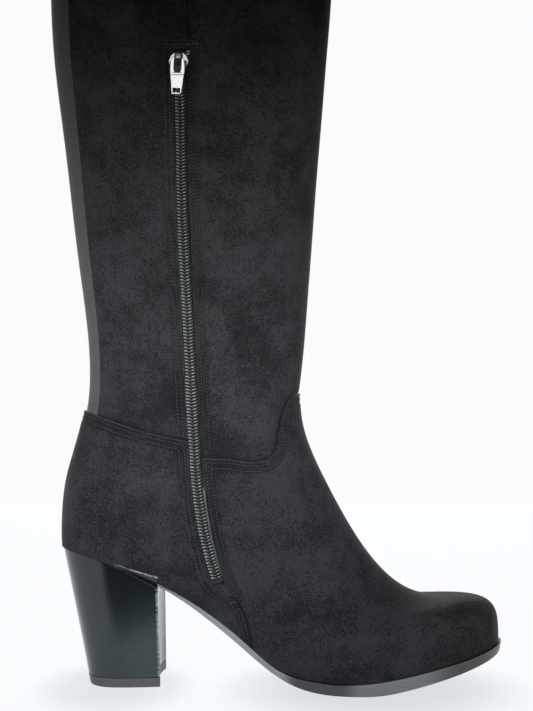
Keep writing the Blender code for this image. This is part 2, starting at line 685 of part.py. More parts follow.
# ---------------------------------------------------------------- the zip's hard pieces
def flat_piece(name, outlines, thickness):
    """A mesh cut from flat outlines in mm, the first its edge and the others holes."""
    curve = bpy.data.curves.new(name, "CURVE")
    curve.dimensions = "2D"
    curve.fill_mode = "BOTH"
    curve.extrude = thickness / 2 * MM
    for outline in outlines:
        spline = curve.splines.new("POLY")
        spline.points.add(len(outline) - 1)
        for point, (x, y) in zip(spline.points, outline):
            point.co = (x * MM, y * MM, 0, 1)
        spline.use_cyclic_u = True
    holder = bpy.data.objects.new(name, curve)
    bpy.context.scene.collection.objects.link(holder)
    depsgraph = bpy.context.evaluated_depsgraph_get()
    mesh = bpy.data.meshes.new_from_object(holder.evaluated_get(depsgraph))
    bpy.data.objects.remove(holder)
    bm = bmesh.new()
    bm.from_mesh(mesh)
    bmesh.ops.remove_doubles(bm, verts=bm.verts[:], dist=0.000001)
    bmesh.ops.recalc_face_normals(bm, faces=bm.faces[:])
    bm.to_mesh(mesh)
    bm.free()
    return mesh


UPRIGHT = Matrix.Rotation(math.radians(90), 4, "X")      # outline x across, y up, thickness outwards
EDGEWISE = Matrix(((0, 0, 1, 0), (0, -1, 0, 0), (1, 0, 0, 0), (0, 0, 0, 1)))   # x up, y outwards


def hinge_point():
    """The middle of the pull's bar, mm."""
    level = level_at_height(zip_around(SLOT_CEILING), SLIDER_Z)
    surface = skin(zip_around(level), level)
    return Vector((SLIDER_X, surface[1] - SLIDER_LIFT - SLIDER_PLATE - HINGE_OUT, SLIDER_Z))


def make_slider(collection, cutters, finish):
    """The slider's plate with the arched crown that holds the pull."""
    plate = flat_piece("zip_slider", [PLATE_OUTLINE], SLIDER_PLATE)
    plate.transform(Matrix.Translation((0, (HINGE_OUT + SLIDER_PLATE / 2) * MM, 0)) @ UPRIGHT)
    arch = []
    for (length, height), angles in (
        (CROWN_OUTER, np.linspace(0, math.pi, 13)),
        (CROWN_INNER, np.linspace(math.pi, 0, 9)),
    ):
        foot = math.copysign(1, math.cos(angles[0])) * length
        arch.append((foot, -CROWN_ROOT - HINGE_OUT))
        arch += [(length * math.cos(a), height * math.sin(a) - HINGE_OUT) for a in angles]
        arch.append((-foot, -CROWN_ROOT - HINGE_OUT))
    crown_mesh = flat_piece("crown", [arch], CROWN_WIDTH)
    crown_mesh.transform(EDGEWISE)
    crown = bpy.data.objects.new("crown", crown_mesh)
    cutters.objects.link(crown)
    crown.hide_render = True
    crown.display_type = "WIRE"
    slider = new_object("zip_slider", plate, collection, finish)
    crown.location = slider.location = hinge_point() * MM
    union = slider.modifiers.new("crown", "BOOLEAN")
    union.operation = "UNION"
    union.object = crown
    return slider


def make_pull(collection, finish):
    """The pull tab: a bar through the crown, a slot that clears it and a small hole below."""
    left = [(-x, z) for x, z in PULL_HALF_OUTLINE[::-1]]
    slot = PULL_SLOT
    radius = slot["half_width"]
    slot_outline = [(-radius, slot["top"]), (radius, slot["top"])]
    for angle in np.linspace(0, -math.pi, 9):
        x, z = radius * math.cos(angle), radius * math.sin(angle)
        slot_outline.append((x, slot["bottom"] + radius + z))
    mesh = flat_piece("zip_pull", [list(PULL_HALF_OUTLINE) + left, slot_outline, PULL_HOLE], PULL_THICK)
    mesh.transform(UPRIGHT)
    pull = new_object("zip_pull", mesh, collection, finish)
    pull.location = (hinge_point() + Vector((PULL_SHIFT, 0, 0))) * MM
    pull.rotation_euler = Euler((0, math.radians(PULL_LEAN), 0))
    return pull


def make_bottom_stop(collection, finish):
    """The clamp across the chain's lower end."""
    level = solve(lambda at: skin(zip_around(at), at)[2] - STOP_HEIGHT, SLOT_FLOOR, ZIP_FOOT["below_level"])
    around = zip_around(level)
    centre = Vector(offset_skin(around, level, STOP_SIZE[1] / 2 - ZIP_INSET + GAP))
    above = Vector(skin(zip_around(level + 0.5), level + 0.5))
    out = Vector(outward(around, level))
    up = (above - centre).normalized()
    across = up.cross(-out).normalized()
    up = (-out).cross(across)
    turn = Matrix((across, -out, up)).transposed().to_4x4()
    bm = bmesh.new()
    bmesh.ops.create_cube(bm, size=1.0)
    bmesh.ops.scale(bm, vec=Vector(STOP_SIZE) * MM, verts=bm.verts[:])
    mesh = bpy.data.meshes.new("zip_bottom_stop")
    bm.to_mesh(mesh)
    bm.free()
    stop = new_object("zip_bottom_stop", mesh, collection, finish)
    stop.matrix_world = Matrix.Translation(centre * MM) @ turn
    edge = stop.modifiers.new("rounded", "BEVEL")
    edge.width = STOP_ROUNDING * MM
    edge.segments = 2
    return stop


# ---------------------------------------------------------------- build
def clear_scene():
    for old in list(bpy.data.objects):
        bpy.data.objects.remove(old, do_unlink=True)


def build():
    clear_scene()
    boot = bpy.data.collections.new("over_the_knee_boot")
    cutters = bpy.data.collections.new("cutters")
    for collection in (boot, cutters):
        bpy.context.scene.collection.children.link(collection)
    suede = material("faux_suede", (0.022, 0.021, 0.022), 0.95)
    elastic = material("ribbed_elastic", (0.045, 0.046, 0.047), 0.6)
    nylon = material("black_nylon", (0.02, 0.022, 0.022), 0.45)
    chrome = material("chrome", (0.8, 0.8, 0.8), 0.12, 1.0)
    make_upper(boot, suede)
    make_shaft(boot, suede)
    make_gore(boot, elastic)
    make_zip_chain(boot, nylon)
    make_outsole(boot, material("black_sole", (0.03, 0.031, 0.033), 0.4))
    make_insole(boot, material("insole_lining", (0.05, 0.045, 0.04), 0.8))
    make_heel_block(boot, material("gloss_black", (0.012, 0.012, 0.013), 0.12))
    make_heel_tip(boot, material("black_rubber", (0.025, 0.025, 0.027), 0.55))
    make_slider(boot, cutters, chrome)
    make_pull(boot, chrome)
    make_bottom_stop(boot, chrome)


build()
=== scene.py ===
# %% [markdown]
# # Over-the-knee boot, its looks
# The construction is already fixed: eleven CAD nodes at their real size. This notebook gives each
# of them the surface of the real boot: napped faux suede, ribbed elastic, a nylon coil zip, a
# glossy stacked heel. Lengths are written in millimetres and turned into metres with MM.

# %% Load the frame
import math
from contextlib import contextmanager

import bmesh
import bpy
import numpy as np
from mathutils import Matrix, Vector
from mathutils.bvhtree import BVHTree
from mathutils.kdtree import KDTree


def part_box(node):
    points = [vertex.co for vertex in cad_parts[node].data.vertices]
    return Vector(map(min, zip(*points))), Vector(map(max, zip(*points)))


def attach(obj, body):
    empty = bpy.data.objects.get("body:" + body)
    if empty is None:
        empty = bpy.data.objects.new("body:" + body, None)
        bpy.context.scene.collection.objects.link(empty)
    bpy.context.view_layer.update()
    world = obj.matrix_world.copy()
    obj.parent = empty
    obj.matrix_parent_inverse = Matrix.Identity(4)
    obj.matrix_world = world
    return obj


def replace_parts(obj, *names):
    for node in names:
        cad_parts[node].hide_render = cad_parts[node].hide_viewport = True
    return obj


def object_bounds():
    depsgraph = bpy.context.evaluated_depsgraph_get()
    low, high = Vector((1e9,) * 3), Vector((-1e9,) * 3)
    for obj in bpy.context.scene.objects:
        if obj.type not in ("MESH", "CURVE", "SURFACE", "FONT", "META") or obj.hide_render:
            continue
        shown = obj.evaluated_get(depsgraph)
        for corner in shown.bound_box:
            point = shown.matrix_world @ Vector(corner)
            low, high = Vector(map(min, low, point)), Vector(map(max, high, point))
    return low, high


MM = 0.001
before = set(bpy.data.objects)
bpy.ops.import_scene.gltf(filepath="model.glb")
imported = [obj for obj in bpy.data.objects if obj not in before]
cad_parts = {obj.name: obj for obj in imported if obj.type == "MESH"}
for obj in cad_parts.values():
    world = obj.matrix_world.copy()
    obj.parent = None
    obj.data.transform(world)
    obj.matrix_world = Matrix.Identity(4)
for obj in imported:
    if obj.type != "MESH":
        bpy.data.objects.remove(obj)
cad_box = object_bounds()
print("CAD box, mm:", [[round(value / MM, 1) for value in corner] for corner in cad_box])

# %% [markdown]
# ## Camera
# The boot is seen square on from its inner side. The camera looks level, at half the height of
# what it frames, so that the shaft doesn't lean. It is near enough for the far side of the heel
# to show past the near one.

# %% Make the camera
CAMERA_PLACE = Vector((79.5, -750.0, 181.8)) * MM
SENSOR = 36.0
VIEW_HEIGHT = 401.7 * MM      # what the frame takes in at the boot's middle plane

camera_data = bpy.data.cameras.new("camera")
camera_data.sensor_fit = "VERTICAL"
camera_data.sensor_height = SENSOR
camera_data.lens = SENSOR * -CAMERA_PLACE.y / VIEW_HEIGHT
camera = bpy.data.objects.new("camera", camera_data)
camera.location = CAMERA_PLACE
camera.rotation_euler = (math.radians(90), 0, 0)
bpy.context.scene.collection.objects.link(camera)
bpy.context.scene.camera = camera
print("lens, mm:", round(camera_data.lens, 1))

# %% [markdown]
# ## Shader maths
# A finish is a tree of nodes. Wrapping a socket in a small class lets the maths be written as
# Python expressions: `1 - mask` adds a Subtract node. Every other node comes from one method.

# %% Values and nodes
class Value:
    """An output socket that Python's operators work on."""

    def __init__(self, nodes, socket):
        self.nodes, self.socket = nodes, socket

    def __add__(self, other):
        return self.nodes.maths("ADD", self, other)

    def __sub__(self, other):
        return self.nodes.maths("SUBTRACT", self, other)

    def __rsub__(self, other):
        return self.nodes.maths("SUBTRACT", other, self)

    def __mul__(self, other):
        return self.nodes.maths("MULTIPLY", self, other)

    __radd__, __rmul__ = __add__, __mul__


class Nodes:
    """A tree of shader nodes."""

    def __init__(self, tree):
        self.tree = tree

    def node(self, kind, settings, *values, output=0, **named):
        made = self.tree.nodes.new(kind)
        for setting, value in settings.items():
            setattr(made, setting, value)
        sockets = list(zip(made.inputs, values))
        sockets += [(made.inputs[name.replace("_", " ")], value) for name, value in named.items()]
        for socket, value in sockets:
            self.join(value, socket)
        return Value(self, made.outputs[output])

    def join(self, value, socket):
        if isinstance(value, Value):
            self.tree.links.new(value.socket, socket)
        else:
            socket.default_value = value

    def maths(self, operation, *values):
        return self.node("ShaderNodeMath", {"operation": operation}, *values)

    def place(self):
        """Object coordinates: every piece sits at the origin, so they are the boot's own metres."""
        return self.node("ShaderNodeTexCoord", {}, output=3)

    def axes(self):
        """The boot's x, y and z at a point, in mm."""
        made = self.tree.nodes.new("ShaderNodeSeparateXYZ")
        self.join(self.place(), made.inputs[0])
        return [Value(self, output) * (1 / MM) for output in made.outputs]

    def noise(self, size, detail=2.0, roughness=0.5, stretch=None):
        """Noise from 0 to 1, in lumps about `size` mm across. A stretch below 1 draws them out."""
        where = self.place()
        if stretch:
            where = self.node("ShaderNodeMapping", {}, Vector=where, Scale=stretch)
        return self.node("ShaderNodeTexNoise", {}, Vector=where, Scale=1 / (size * MM),
                         Detail=detail, Roughness=roughness)

    def between(self, value, low, high):
        """0 before low, 1 past high, with a soft start and end. Low may be the larger number."""
        return self.node("ShaderNodeMapRange", {"interpolation_type": "SMOOTHSTEP"},
                         value, low, high, 0.0, 1.0)

    def blend(self, share, first, second, way="MIX"):
        """The first colour where share is 0, the second (or their product) where it is 1."""
        made = self.tree.nodes.new("ShaderNodeMix")
        made.data_type, made.blend_type = "RGBA", way
        self.join(share, made.inputs["Factor"])
        for socket, colour in ((made.inputs[6], first), (made.inputs[7], second)):
            self.join((*colour, 1.0) if isinstance(colour, tuple) else colour, socket)
        return Value(self, made.outputs[2])

    def attribute(self, name):
        return self.node("ShaderNodeAttribute", {"attribute_name": name}, output=2)


# %% A finish
class Finish(Nodes):
    """A material with one Principled shader. Gloss is its Specular IOR Level."""

    def __init__(self, name, roughness=0.5, gloss=0.5, **plain):
        self.material = bpy.data.materials.new(name)
        self.material.use_nodes = True
        super().__init__(self.material.node_tree)
        self.feed(Roughness=roughness, Specular_IOR_Level=gloss, **plain)

    def feed(self, **values):
        """Set the shader's sockets, each to a plain value or to another node's output."""
        for name, value in values.items():
            self.join(value, self.tree.nodes["Principled BSDF"].inputs[name.replace("_", " ")])

    def relief(self, height, distance, strength=1.0):
        """A bump of that many mm."""
        bump = self.node("ShaderNodeBump", {}, Height=height, Distance=distance * MM,
                         Strength=strength)
        self.feed(Normal=bump)


# %% [markdown]
# ## Faux suede
# The pile of black microfibre isn't one black. Where a hand has stroked it one way it is lighter,
# the other way darker, in soft clouds from a thumb's to a palm's width, with a speckle of short
# fibres over all. Two vertex attributes say where the placed things are. The first is lighter
# above zero: brushed pile, and in a few places painted shade. The second is 1 in the bottom of a
# sewn groove or a stitch hole, where the colour is painted dark as shade.

# %% The suede
suede = Finish("napped_suede", 0.92, 0.10,
               Sheen_Weight=0.11, Sheen_Roughness=0.36, Sheen_Tint=(0.92, 0.87, 0.88, 1))
speckle = suede.noise(0.75, 1.0, 0.6)
fibres = suede.noise(2.2, 2.0, 0.6)
strokes = suede.noise(8, 3.0, 0.6)
clouds = suede.noise(34, 3.0, 0.6)
grain = 3.4 * (speckle - 0.5) + 1.0 * (fibres - 0.5)
brushed_and_shade = 1.4 * (strokes - 0.5) + 2.9 * (clouds - 0.5) + 0.26 * suede.attribute("nap_and_shade")
tone = 0.5 + grain + brushed_and_shade
cool = suede.blend(tone, (0.0050, 0.0052, 0.0061), (0.0204, 0.0202, 0.0225))
warm = suede.blend(tone, (0.0054, 0.0050, 0.0056), (0.0218, 0.0197, 0.0211))
nap_and_shade = suede.blend(suede.between(suede.noise(7, 3.0), 0.40, 0.60), cool, warm)
forward, _, height = suede.axes()
low = suede.between(height, 260, 60) * suede.between(forward, 190, 110)
hue = suede.blend(low, (1.02, 0.98, 1.0), (0.95, 1.005, 1.11))
nap_and_shade = suede.blend(1.0, nap_and_shade, hue, "MULTIPLY")
suede.feed(Base_Color=suede.blend(suede.attribute("painted_recess_shade") * 0.85, nap_and_shade, (0.0008, 0.0008, 0.0010)))
suede.relief(0.5 * fibres + 0.5 * speckle + 0.2 * strokes, 0.5, 1.0)
print("made", suede.material.name)

# %% [markdown]
# ## The other finishes
# Each has the grain that the real one shows at its own scale: ribs across the elastic every
# 1.25 mm, a close woven tape, stacked layers in the heel, brushed streaks on the sole's edge.

# %% Elastic and linings
RIB_STEP = 1.25

elastic = Finish("ribbed_elastic", 0.62, 0.35, Sheen_Weight=0.10, Sheen_Roughness=0.35)
_, _, height = elastic.axes()
rib = 0.5 + 0.5 * elastic.maths("SINE", height * (2 * math.pi / RIB_STEP))
yarn = elastic.noise(0.7, 1.0, stretch=(1, 1, 0.35))
cloud = elastic.noise(30)
tone = elastic.between(0.45 * rib + 0.25 * yarn + 0.2 * cloud, 0.15, 0.85)
# Painted shade: the elastic is painted darker towards the top of the shaft, where less light falls.
tone = tone + 0.35 * elastic.between(height, 330, 200)
elastic.feed(Base_Color=elastic.blend(tone, (0.015, 0.0154, 0.0156), (0.044, 0.0449, 0.0456)))
elastic.relief(yarn, 0.12, 0.9)


def lining_finish(name, dark, light):
    """A close textile: fine threads both ways."""
    made = Finish(name, 0.85, 0.2, Sheen_Weight=0.08)
    warp = made.noise(0.5, 1.0, stretch=(1, 1, 0.2))
    weft = made.noise(0.5, 1.0, stretch=(0.2, 0.2, 1))
    cloud = made.noise(25, 3.0)
    made.feed(Base_Color=made.blend(0.35 * warp + 0.35 * weft + 0.3 * cloud, dark, light))
    made.relief(warp + weft, 0.12, 0.8)
    return made


lining = lining_finish("black_lining", (0.010, 0.010, 0.011), (0.035, 0.034, 0.035))
sock = lining_finish("sock_lining", (0.030, 0.026, 0.022), (0.070, 0.062, 0.054))

# %% Nylon and thread
# The nylon's colour is a painted highlight on the crests of its loops and painted shade in the gaps
# between them, where a vertex attribute is 1. The foot's thread is a little paler than the shaft's.
nylon = Finish("coil_nylon", 0.36, 0.35, Coat_Roughness=0.2)
gap_shade = nylon.attribute("painted_recess_shade")
crest_highlight = nylon.blend(nylon.noise(3), (0.22, 0.255, 0.25), (0.42, 0.475, 0.47))
nylon.feed(Base_Color=nylon.blend(gap_shade, crest_highlight, (0.0006, 0.0008, 0.0008)), Coat_Weight=1 - gap_shade)

thread = Finish("sewing_thread", 0.55, 0.25)
twist = thread.noise(0.35, 1.0)
_, _, height = thread.axes()
foot = thread.blend(twist, (0.004, 0.0045, 0.005), (0.034, 0.039, 0.043))
leg = thread.blend(twist, (0.003, 0.003, 0.0035), (0.022, 0.023, 0.025))
thread.feed(Base_Color=thread.blend(thread.between(height, 130, 170), foot, leg))
thread.relief(twist, 0.08, 0.7)

# %% Tape, satin and rubber
def grained_finish(name, roughness, gloss, size, dark, light, relief=None, detail=1.0, tall=1.0):
    """One fine grain from dark to light, which may stand up: relief is its height and strength."""
    made = Finish(name, roughness, gloss)
    grain = made.noise(size, detail, stretch=(1, 1, tall))
    made.feed(Base_Color=made.blend(grain, dark, light))
    if relief:
        made.relief(grain, *relief)
    return made


moulded = grained_finish("stop_nylon", 0.4, 0.6, 0.8, (0.10, 0.12, 0.11), (0.42, 0.46, 0.43))
tape = grained_finish("zip_tape", 0.7, 0.12, 0.6, (0.0015, 0.0016, 0.0018),
                      (0.005, 0.0054, 0.006), (0.15, 0.8), tall=0.4)
satin = grained_finish("satin_edge", 0.4, 0.5, 0.5, (0.006, 0.010, 0.013),
                       (0.026, 0.037, 0.044), (0.08, 0.6), tall=0.3)
rubber = grained_finish("tip_rubber", 0.45, 0.45, 0.7, (0.030, 0.033, 0.036),
                        (0.055, 0.059, 0.063), (0.04, 0.6), detail=2.0)

# %% Metal
HINGE = (32.2, -37.2, 341.4)     # the pull's axis passes through here, in mm


def metal_finish(name, size):
    """Plated metal, a smear of grease on it, and its three axes from the hinge."""
    metal = Finish(name, Metallic=1.0)
    return metal, metal.noise(size, 3.0, 0.6), [a - b for a, b in zip(metal.axes(), HINGE)]


nickel, smear, _ = metal_finish("dark_nickel", 2.2)
nickel.feed(Base_Color=nickel.blend(smear, (0.012, 0.012, 0.013), (0.09, 0.088, 0.094)),
            Roughness=0.30 + 0.16 * smear)

# %% The slider's plating
# Painted reflections and shade: the plating is painted bright on the wings, on a band of the crown
# and along its rim, and dark on top of the crown and under the pull.
plating, smear, (across, away, height) = metal_finish("slider_plating", 1.8)
crown, off = plating.between(away, 1.0, 0.6), plating.maths("ABSOLUTE", across)
crown_highlight = plating.between(height, -0.6, 0.4) * plating.between(height, 2.9, 1.9)
wings = plating.between(height, -1.4, -0.4) * plating.between(height, 3.8, 2.8)
wings = wings * plating.between(off, 2.0, 2.6) * (1 - crown)
rim = plating.between(off, 3.9, 4.6)
lit_plating = plating.blend(smear, (0.62, 0.62, 0.63), (0.92, 0.91, 0.92))
shaded_plating = plating.blend(smear, (0.008, 0.008, 0.009), (0.05, 0.05, 0.055))
plating.feed(Base_Color=plating.blend(crown * crown_highlight + wings + 0.5 * rim, shaded_plating, lit_plating),
             Roughness=0.12 + 0.2 * smear + 0.35 * crown)

# %% The pull's chrome
# A line is pressed below its slot and painted dark in it as shade; its bar is painted dark as the
# shade of the crown.
chrome, smear, (across, _, height) = metal_finish("pull_chrome", 2.2)
bright = chrome.blend(smear, (0.72, 0.71, 0.73), (0.96, 0.95, 0.96))
shade = chrome.blend(smear, (0.010, 0.010, 0.011), (0.06, 0.06, 0.065))
off = chrome.maths("ABSOLUTE", across)
bar = chrome.between(height, -1.0, -0.4) * chrome.between(off, 2.4, 1.9)
groove = chrome.between(height, -9.1, -9.0) * chrome.between(height, -8.7, -8.8)
chrome.feed(Base_Color=chrome.blend(bar + 0.7 * groove, bright, shade),
            Roughness=0.10 + 0.16 * smear)
chrome.relief(1 - groove, 0.2, 1.0)

# %% Sole and heel
WAIST_END = 95.0     # the edge is pale and bevelled behind this x, dark and square in front of it
STACK_STEP = 1.15    # one layer of the heel's stack
# Painted highlight colour for the heel's front corner and the lip's upper edge.
EDGE_HIGHLIGHT = (0.15, 0.18, 0.185)

sole = Finish("sole_edge")
streaks = sole.noise(1.2, 3.0, 0.6, stretch=(0.12, 0.12, 1))
grain = 0.6 * streaks + 0.4 * sole.noise(14, 3.0)
forward, _, _ = sole.axes()
# Painted light: the edge is painted lighter under the tread and, behind WAIST_END, paler and bluer
# along the bevelled waist, as a painted reflection of the floor.
dark = sole.blend(grain, (0.012, 0.012, 0.013), (0.036, 0.036, 0.036))
tread_light = sole.blend(grain, (0.050, 0.056, 0.058), (0.135, 0.148, 0.154))
waist_reflection = sole.blend(grain, (0.10, 0.115, 0.125), (0.19, 0.21, 0.22))
tread = sole.between(forward, 118, 132) * sole.between(forward, 184, 160)
waist = sole.between(forward, WAIST_END, WAIST_END - 8)
sole.feed(Base_Color=sole.blend(waist, sole.blend(tread, dark, tread_light), waist_reflection),
          Roughness=0.30 + 0.18 * streaks)
sole.relief(streaks, 0.05, 0.5)

# %% The heel's gloss
# It lies over a thin stack, lighter and bluer towards the floor and the front, where its grain
# is deeper, with a painted highlight along its front corner.
heel = Finish("gloss_stack", Coat_Weight=0.25, Coat_Roughness=0.04,
              Specular_Tint=(0.86, 0.98, 1.02, 1))
forward, _, height = heel.axes()
wobble = heel.noise(18, 3.0, stretch=(1, 1, 0.3))
layer = heel.maths("FRACT", height * (1 / STACK_STEP) + 0.3 * wobble)
line = heel.between(layer, 0.0, 0.16) * heel.between(layer, 1.0, 0.80)
streaks = heel.noise(0.9, 3.0, 0.65, stretch=(0.05, 0.05, 1))
low_and_front = heel.between(height, 66, 14) * (0.5 + 0.5 * heel.between(forward, -6, 14))
grain = 0.35 * line + 0.65 * streaks
glossy = heel.blend(grain, (0.0008, 0.0011, 0.0012), (0.0050, 0.0066, 0.0072))
lighter_bluer = heel.blend(grain, (0.0018, 0.0040, 0.0048), (0.0220, 0.0345, 0.0385))
corner = heel.between(forward + 0.025 * height, 19.9, 20.6) * heel.between(streaks, 0.35, 0.6)
heel.feed(Base_Color=heel.blend(corner, heel.blend(low_and_front, glossy, lighter_bluer), EDGE_HIGHLIGHT),
          Roughness=0.09 + 0.07 * streaks + 0.45 * heel.between(forward, 19, 21))
heel.relief((0.5 * line + 0.7 * streaks) * (0.15 + 0.6 * low_and_front), 0.10, 0.7)

# %% The gloss of its lip
# A painted highlight runs along the lip's upper edge, which falls towards the breast.
lip = Finish("gloss_lip", 0.16, 0.6, Coat_Weight=0.4, Coat_Roughness=0.08)
forward, _, height = lip.axes()
edge = lip.between(height + 0.323 * forward, 66.5, 67.0) * lip.between(forward, 0, 9)
patchy = lip.between(lip.noise(2.5), 0.30, 0.55)
lip.feed(Base_Color=lip.blend(edge * patchy, (0.0008, 0.0011, 0.0012), EDGE_HIGHLIGHT))
print("finishes:", len(bpy.data.materials))

# %% [markdown]
# ## From CAD node to smooth sheet
# A CAD node is a coarse closed shell made of loose triangles. A copy of it has its doubles merged
# and its triangles joined to quads again. Of a wall, only the outer face is kept, as an open
# sheet: it is subdivided, sewn and creased, and its thickness comes back with Solidify. That way
# the grooves and folds go through the whole wall, as they do in cloth.

# %% Helpers for selecting and editing
def only(made):
    """Deselect everything, then select this object alone."""
    bpy.ops.object.select_all(action="DESELECT")
    made.select_set(True)
    bpy.context.view_layer.objects.active = made


def fresh(add, name, **settings):
    """Add a primitive with nothing else selected, and name it."""
    bpy.ops.object.select_all(action="DESELECT")
    add(**settings)
    bpy.context.object.name = name
    return bpy.context.object


def shown(name, mesh):
    made = bpy.data.objects.new(name, mesh)
    bpy.context.scene.collection.objects.link(made)
    return made


@contextmanager
def editing(made, what="FACE", pick="DESELECT"):
    """Edit mode with nothing selected, or all of it; gives the edit mesh."""
    only(made)
    bpy.ops.object.mode_set(mode="EDIT")
    bpy.ops.mesh.select_mode(type=what)
    bpy.ops.mesh.select_all(action=pick)
    yield bmesh.from_edit_mesh(made.data)
    bpy.ops.object.mode_set(mode="OBJECT")


@contextmanager
def reading(made, keep=False):
    """The mesh outside edit mode. With keep, what changes in it is written back."""
    mesh = bmesh.new()
    mesh.from_mesh(made.data)
    yield mesh
    if keep:
        mesh.to_mesh(made.data)
    mesh.free()


def choose(made, parts):
    """Select these faces or edges of the mesh that is being edited."""
    for part in parts:
        part.select_set(True)
    bmesh.update_edit_mesh(made.data)
    return bool(parts)


def apply(made, kind, **settings):
    """Add a modifier and apply it."""
    only(made)
    modifier = made.modifiers.new(kind.lower(), kind)
    for setting, value in settings.items():
        setattr(modifier, setting, value)
    bpy.ops.object.modifier_apply(modifier=modifier.name)


def round_edges(made, width, segments=2, angle=60):
    """Bevel the edges that turn by more than the angle."""
    apply(made, "BEVEL", width=width * MM, segments=segments, limit_method="ANGLE",
          angle_limit=math.radians(angle))


def dress(made, *finishes, smooth=None):
    """Give the mesh its finishes, and shade it smooth up to an angle."""
    made.data.materials.clear()
    for finish in finishes:
        made.data.materials.append(finish.material)
    if smooth:
        only(made)
        bpy.ops.object.shade_smooth_by_angle(angle=math.radians(smooth))


def report(made):
    print(made.name, "triangles:", sum(len(face.vertices) - 2 for face in made.data.polygons))


# %% Copy a node
def copy_of(node, name):
    """A copy of a CAD node, merged, with quads for its triangles."""
    made = shown(name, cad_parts[node].data.copy())
    with editing(made, pick="SELECT"):
        bpy.ops.mesh.customdata_custom_splitnormals_clear()
        bpy.ops.mesh.remove_doubles(threshold=0.01 * MM)
        bpy.ops.mesh.tris_convert_to_quads(face_threshold=math.radians(60),
                                           shape_threshold=math.radians(80), topology_influence=1.5)
    return made


def pin_corners(made, turn=50):
    """Crease the corners of the outline, so that subdividing doesn't round them off."""
    with reading(made, keep=True) as mesh:
        layer = mesh.verts.layers.float.new("crease_vert")
        for vert in mesh.verts:
            rim = [edge.other_vert(vert).co - vert.co
                   for edge in vert.link_edges if edge.is_boundary]
            if len(rim) == 2 and rim[0].angle(-rim[1]) > math.radians(turn):
                vert[layer] = 1.0


def sheet_of(node, name, facing, levels=2):
    """The outer wall of a CAD shell as an open sheet, subdivided."""
    made = copy_of(node, name)
    with editing(made) as mesh:
        choose(made, [max(mesh.faces, key=lambda face: face.calc_area() * face.normal.dot(facing))])
        bpy.ops.mesh.faces_select_linked_flat(sharpness=math.radians(60))
        bpy.ops.mesh.select_all(action="INVERT")
        bpy.ops.mesh.delete(type="FACE")
    pin_corners(made)
    apply(made, "SUBSURF", levels=levels, render_levels=levels, boundary_smooth="PRESERVE_CORNERS")
    print(name, "sheet:", len(made.data.polygons), "faces")
    return made


INNER, BACK = Vector((0, -1, 0)), Vector((-1, 0, 0))
upper = sheet_of("upper", "foot_upper", INNER)
shaft = sheet_of("shaft", "leg_shaft", INNER)
gore = sheet_of("back_gore", "gore_panel", BACK)

# %% [markdown]
# ## Lines on the boot
# Seams, stitches and creases all follow lines on the skin. A line is drawn in the side view, as
# (x, z) points in mm, and dropped onto the skin by a ray along y. An edge of a sheet gives a line
# too, and a row of stitches is that line moved inwards by a few mm.

# %% Points on the skin
SIDES = {"inner": -1, "outer": 1}
REACH = 200 * MM     # rays start this far out to the side


def tree_of(made):
    with reading(made) as mesh:
        return BVHTree.FromBMesh(mesh)


skins = [tree_of(made) for made in (upper, shaft, gore)]


def on_skin(x, z, side="inner", trees=None):
    """The outermost point of the skin at this x and z, in mm, on one side."""
    start = Vector((x * MM, SIDES[side] * REACH, z * MM))
    hits = [tree.ray_cast(start, Vector((0, -SIDES[side], 0))) for tree in trees or skins]
    hits = [hit for hit in hits if hit[0] is not None]
    return min(hits, key=lambda hit: hit[3])[0] if hits else None


def nearest_skin(point):
    """The nearest point of the skin, and which way the skin faces there."""
    found = min((tree.find_nearest(point) for tree in skins), key=lambda hit: hit[3])
    return found[0], found[1]


def even(points, step):
    """The same line, as points a step (mm) apart."""
    points = [Vector(point) for point in points]
    lengths = [0.0]
    for first, second in zip(points, points[1:]):
        lengths.append(lengths[-1] + (second - first).length)
    count = max(2, round(lengths[-1] / (step * MM)) + 1)
    places = np.linspace(0, lengths[-1], count)
    columns = np.array([point[:] for point in points]).T
    return [Vector(row) for row in zip(*(np.interp(places, lengths, column) for column in columns))]


def rounded(points, rounds=3):
    """Cut the corners of a line, so that it curves."""
    for _ in range(rounds):
        softer = [points[0]]
        for first, second in zip(points, points[1:]):
            softer += [first.lerp(second, 0.25), first.lerp(second, 0.75)]
        points = softer + [points[-1]]
    return points


def drawn(side, *places, step=0.5):
    """A line drawn in the side view through (x, z) places, laid on the skin."""
    flat = even(rounded([Vector((x, 0, z)) * MM for x, z in places]), step)
    found = [on_skin(point.x / MM, point.z / MM, side) for point in flat]
    return [point for point in found if point is not None]


# %% Edges of the sheets
def edge_line(made):
    """The longest outline of an open sheet, as points in order."""
    lines = []
    with reading(made) as mesh:
        left = dict.fromkeys(edge for edge in mesh.edges if edge.is_boundary)
        while left:
            first, vert = left.popitem()[0].verts
            line = [first.co.copy(), vert.co.copy()]
            while vert != first:
                edge = next((other for other in vert.link_edges if other in left), None)
                if edge is None:
                    break
                del left[edge]
                vert = edge.other_vert(vert)
                line.append(vert.co.copy())
            lines.append(line)
    return even(max(lines, key=len), 1.0)


def cloud_of(points):
    tree = KDTree(len(points))
    for index, point in enumerate(points):
        tree.insert(point, index)
    tree.balance()
    return tree


def sideways(line, nearest):
    """Each inner point of a line, with the way across the line on the skin there."""
    for before, point, after in zip(line, line[1:], line[2:]):
        yield point, nearest(point)[1].cross((after - before).normalized()).normalized()


RIM_SHARE = 0.93     # a row may come this near to another stretch of the edge


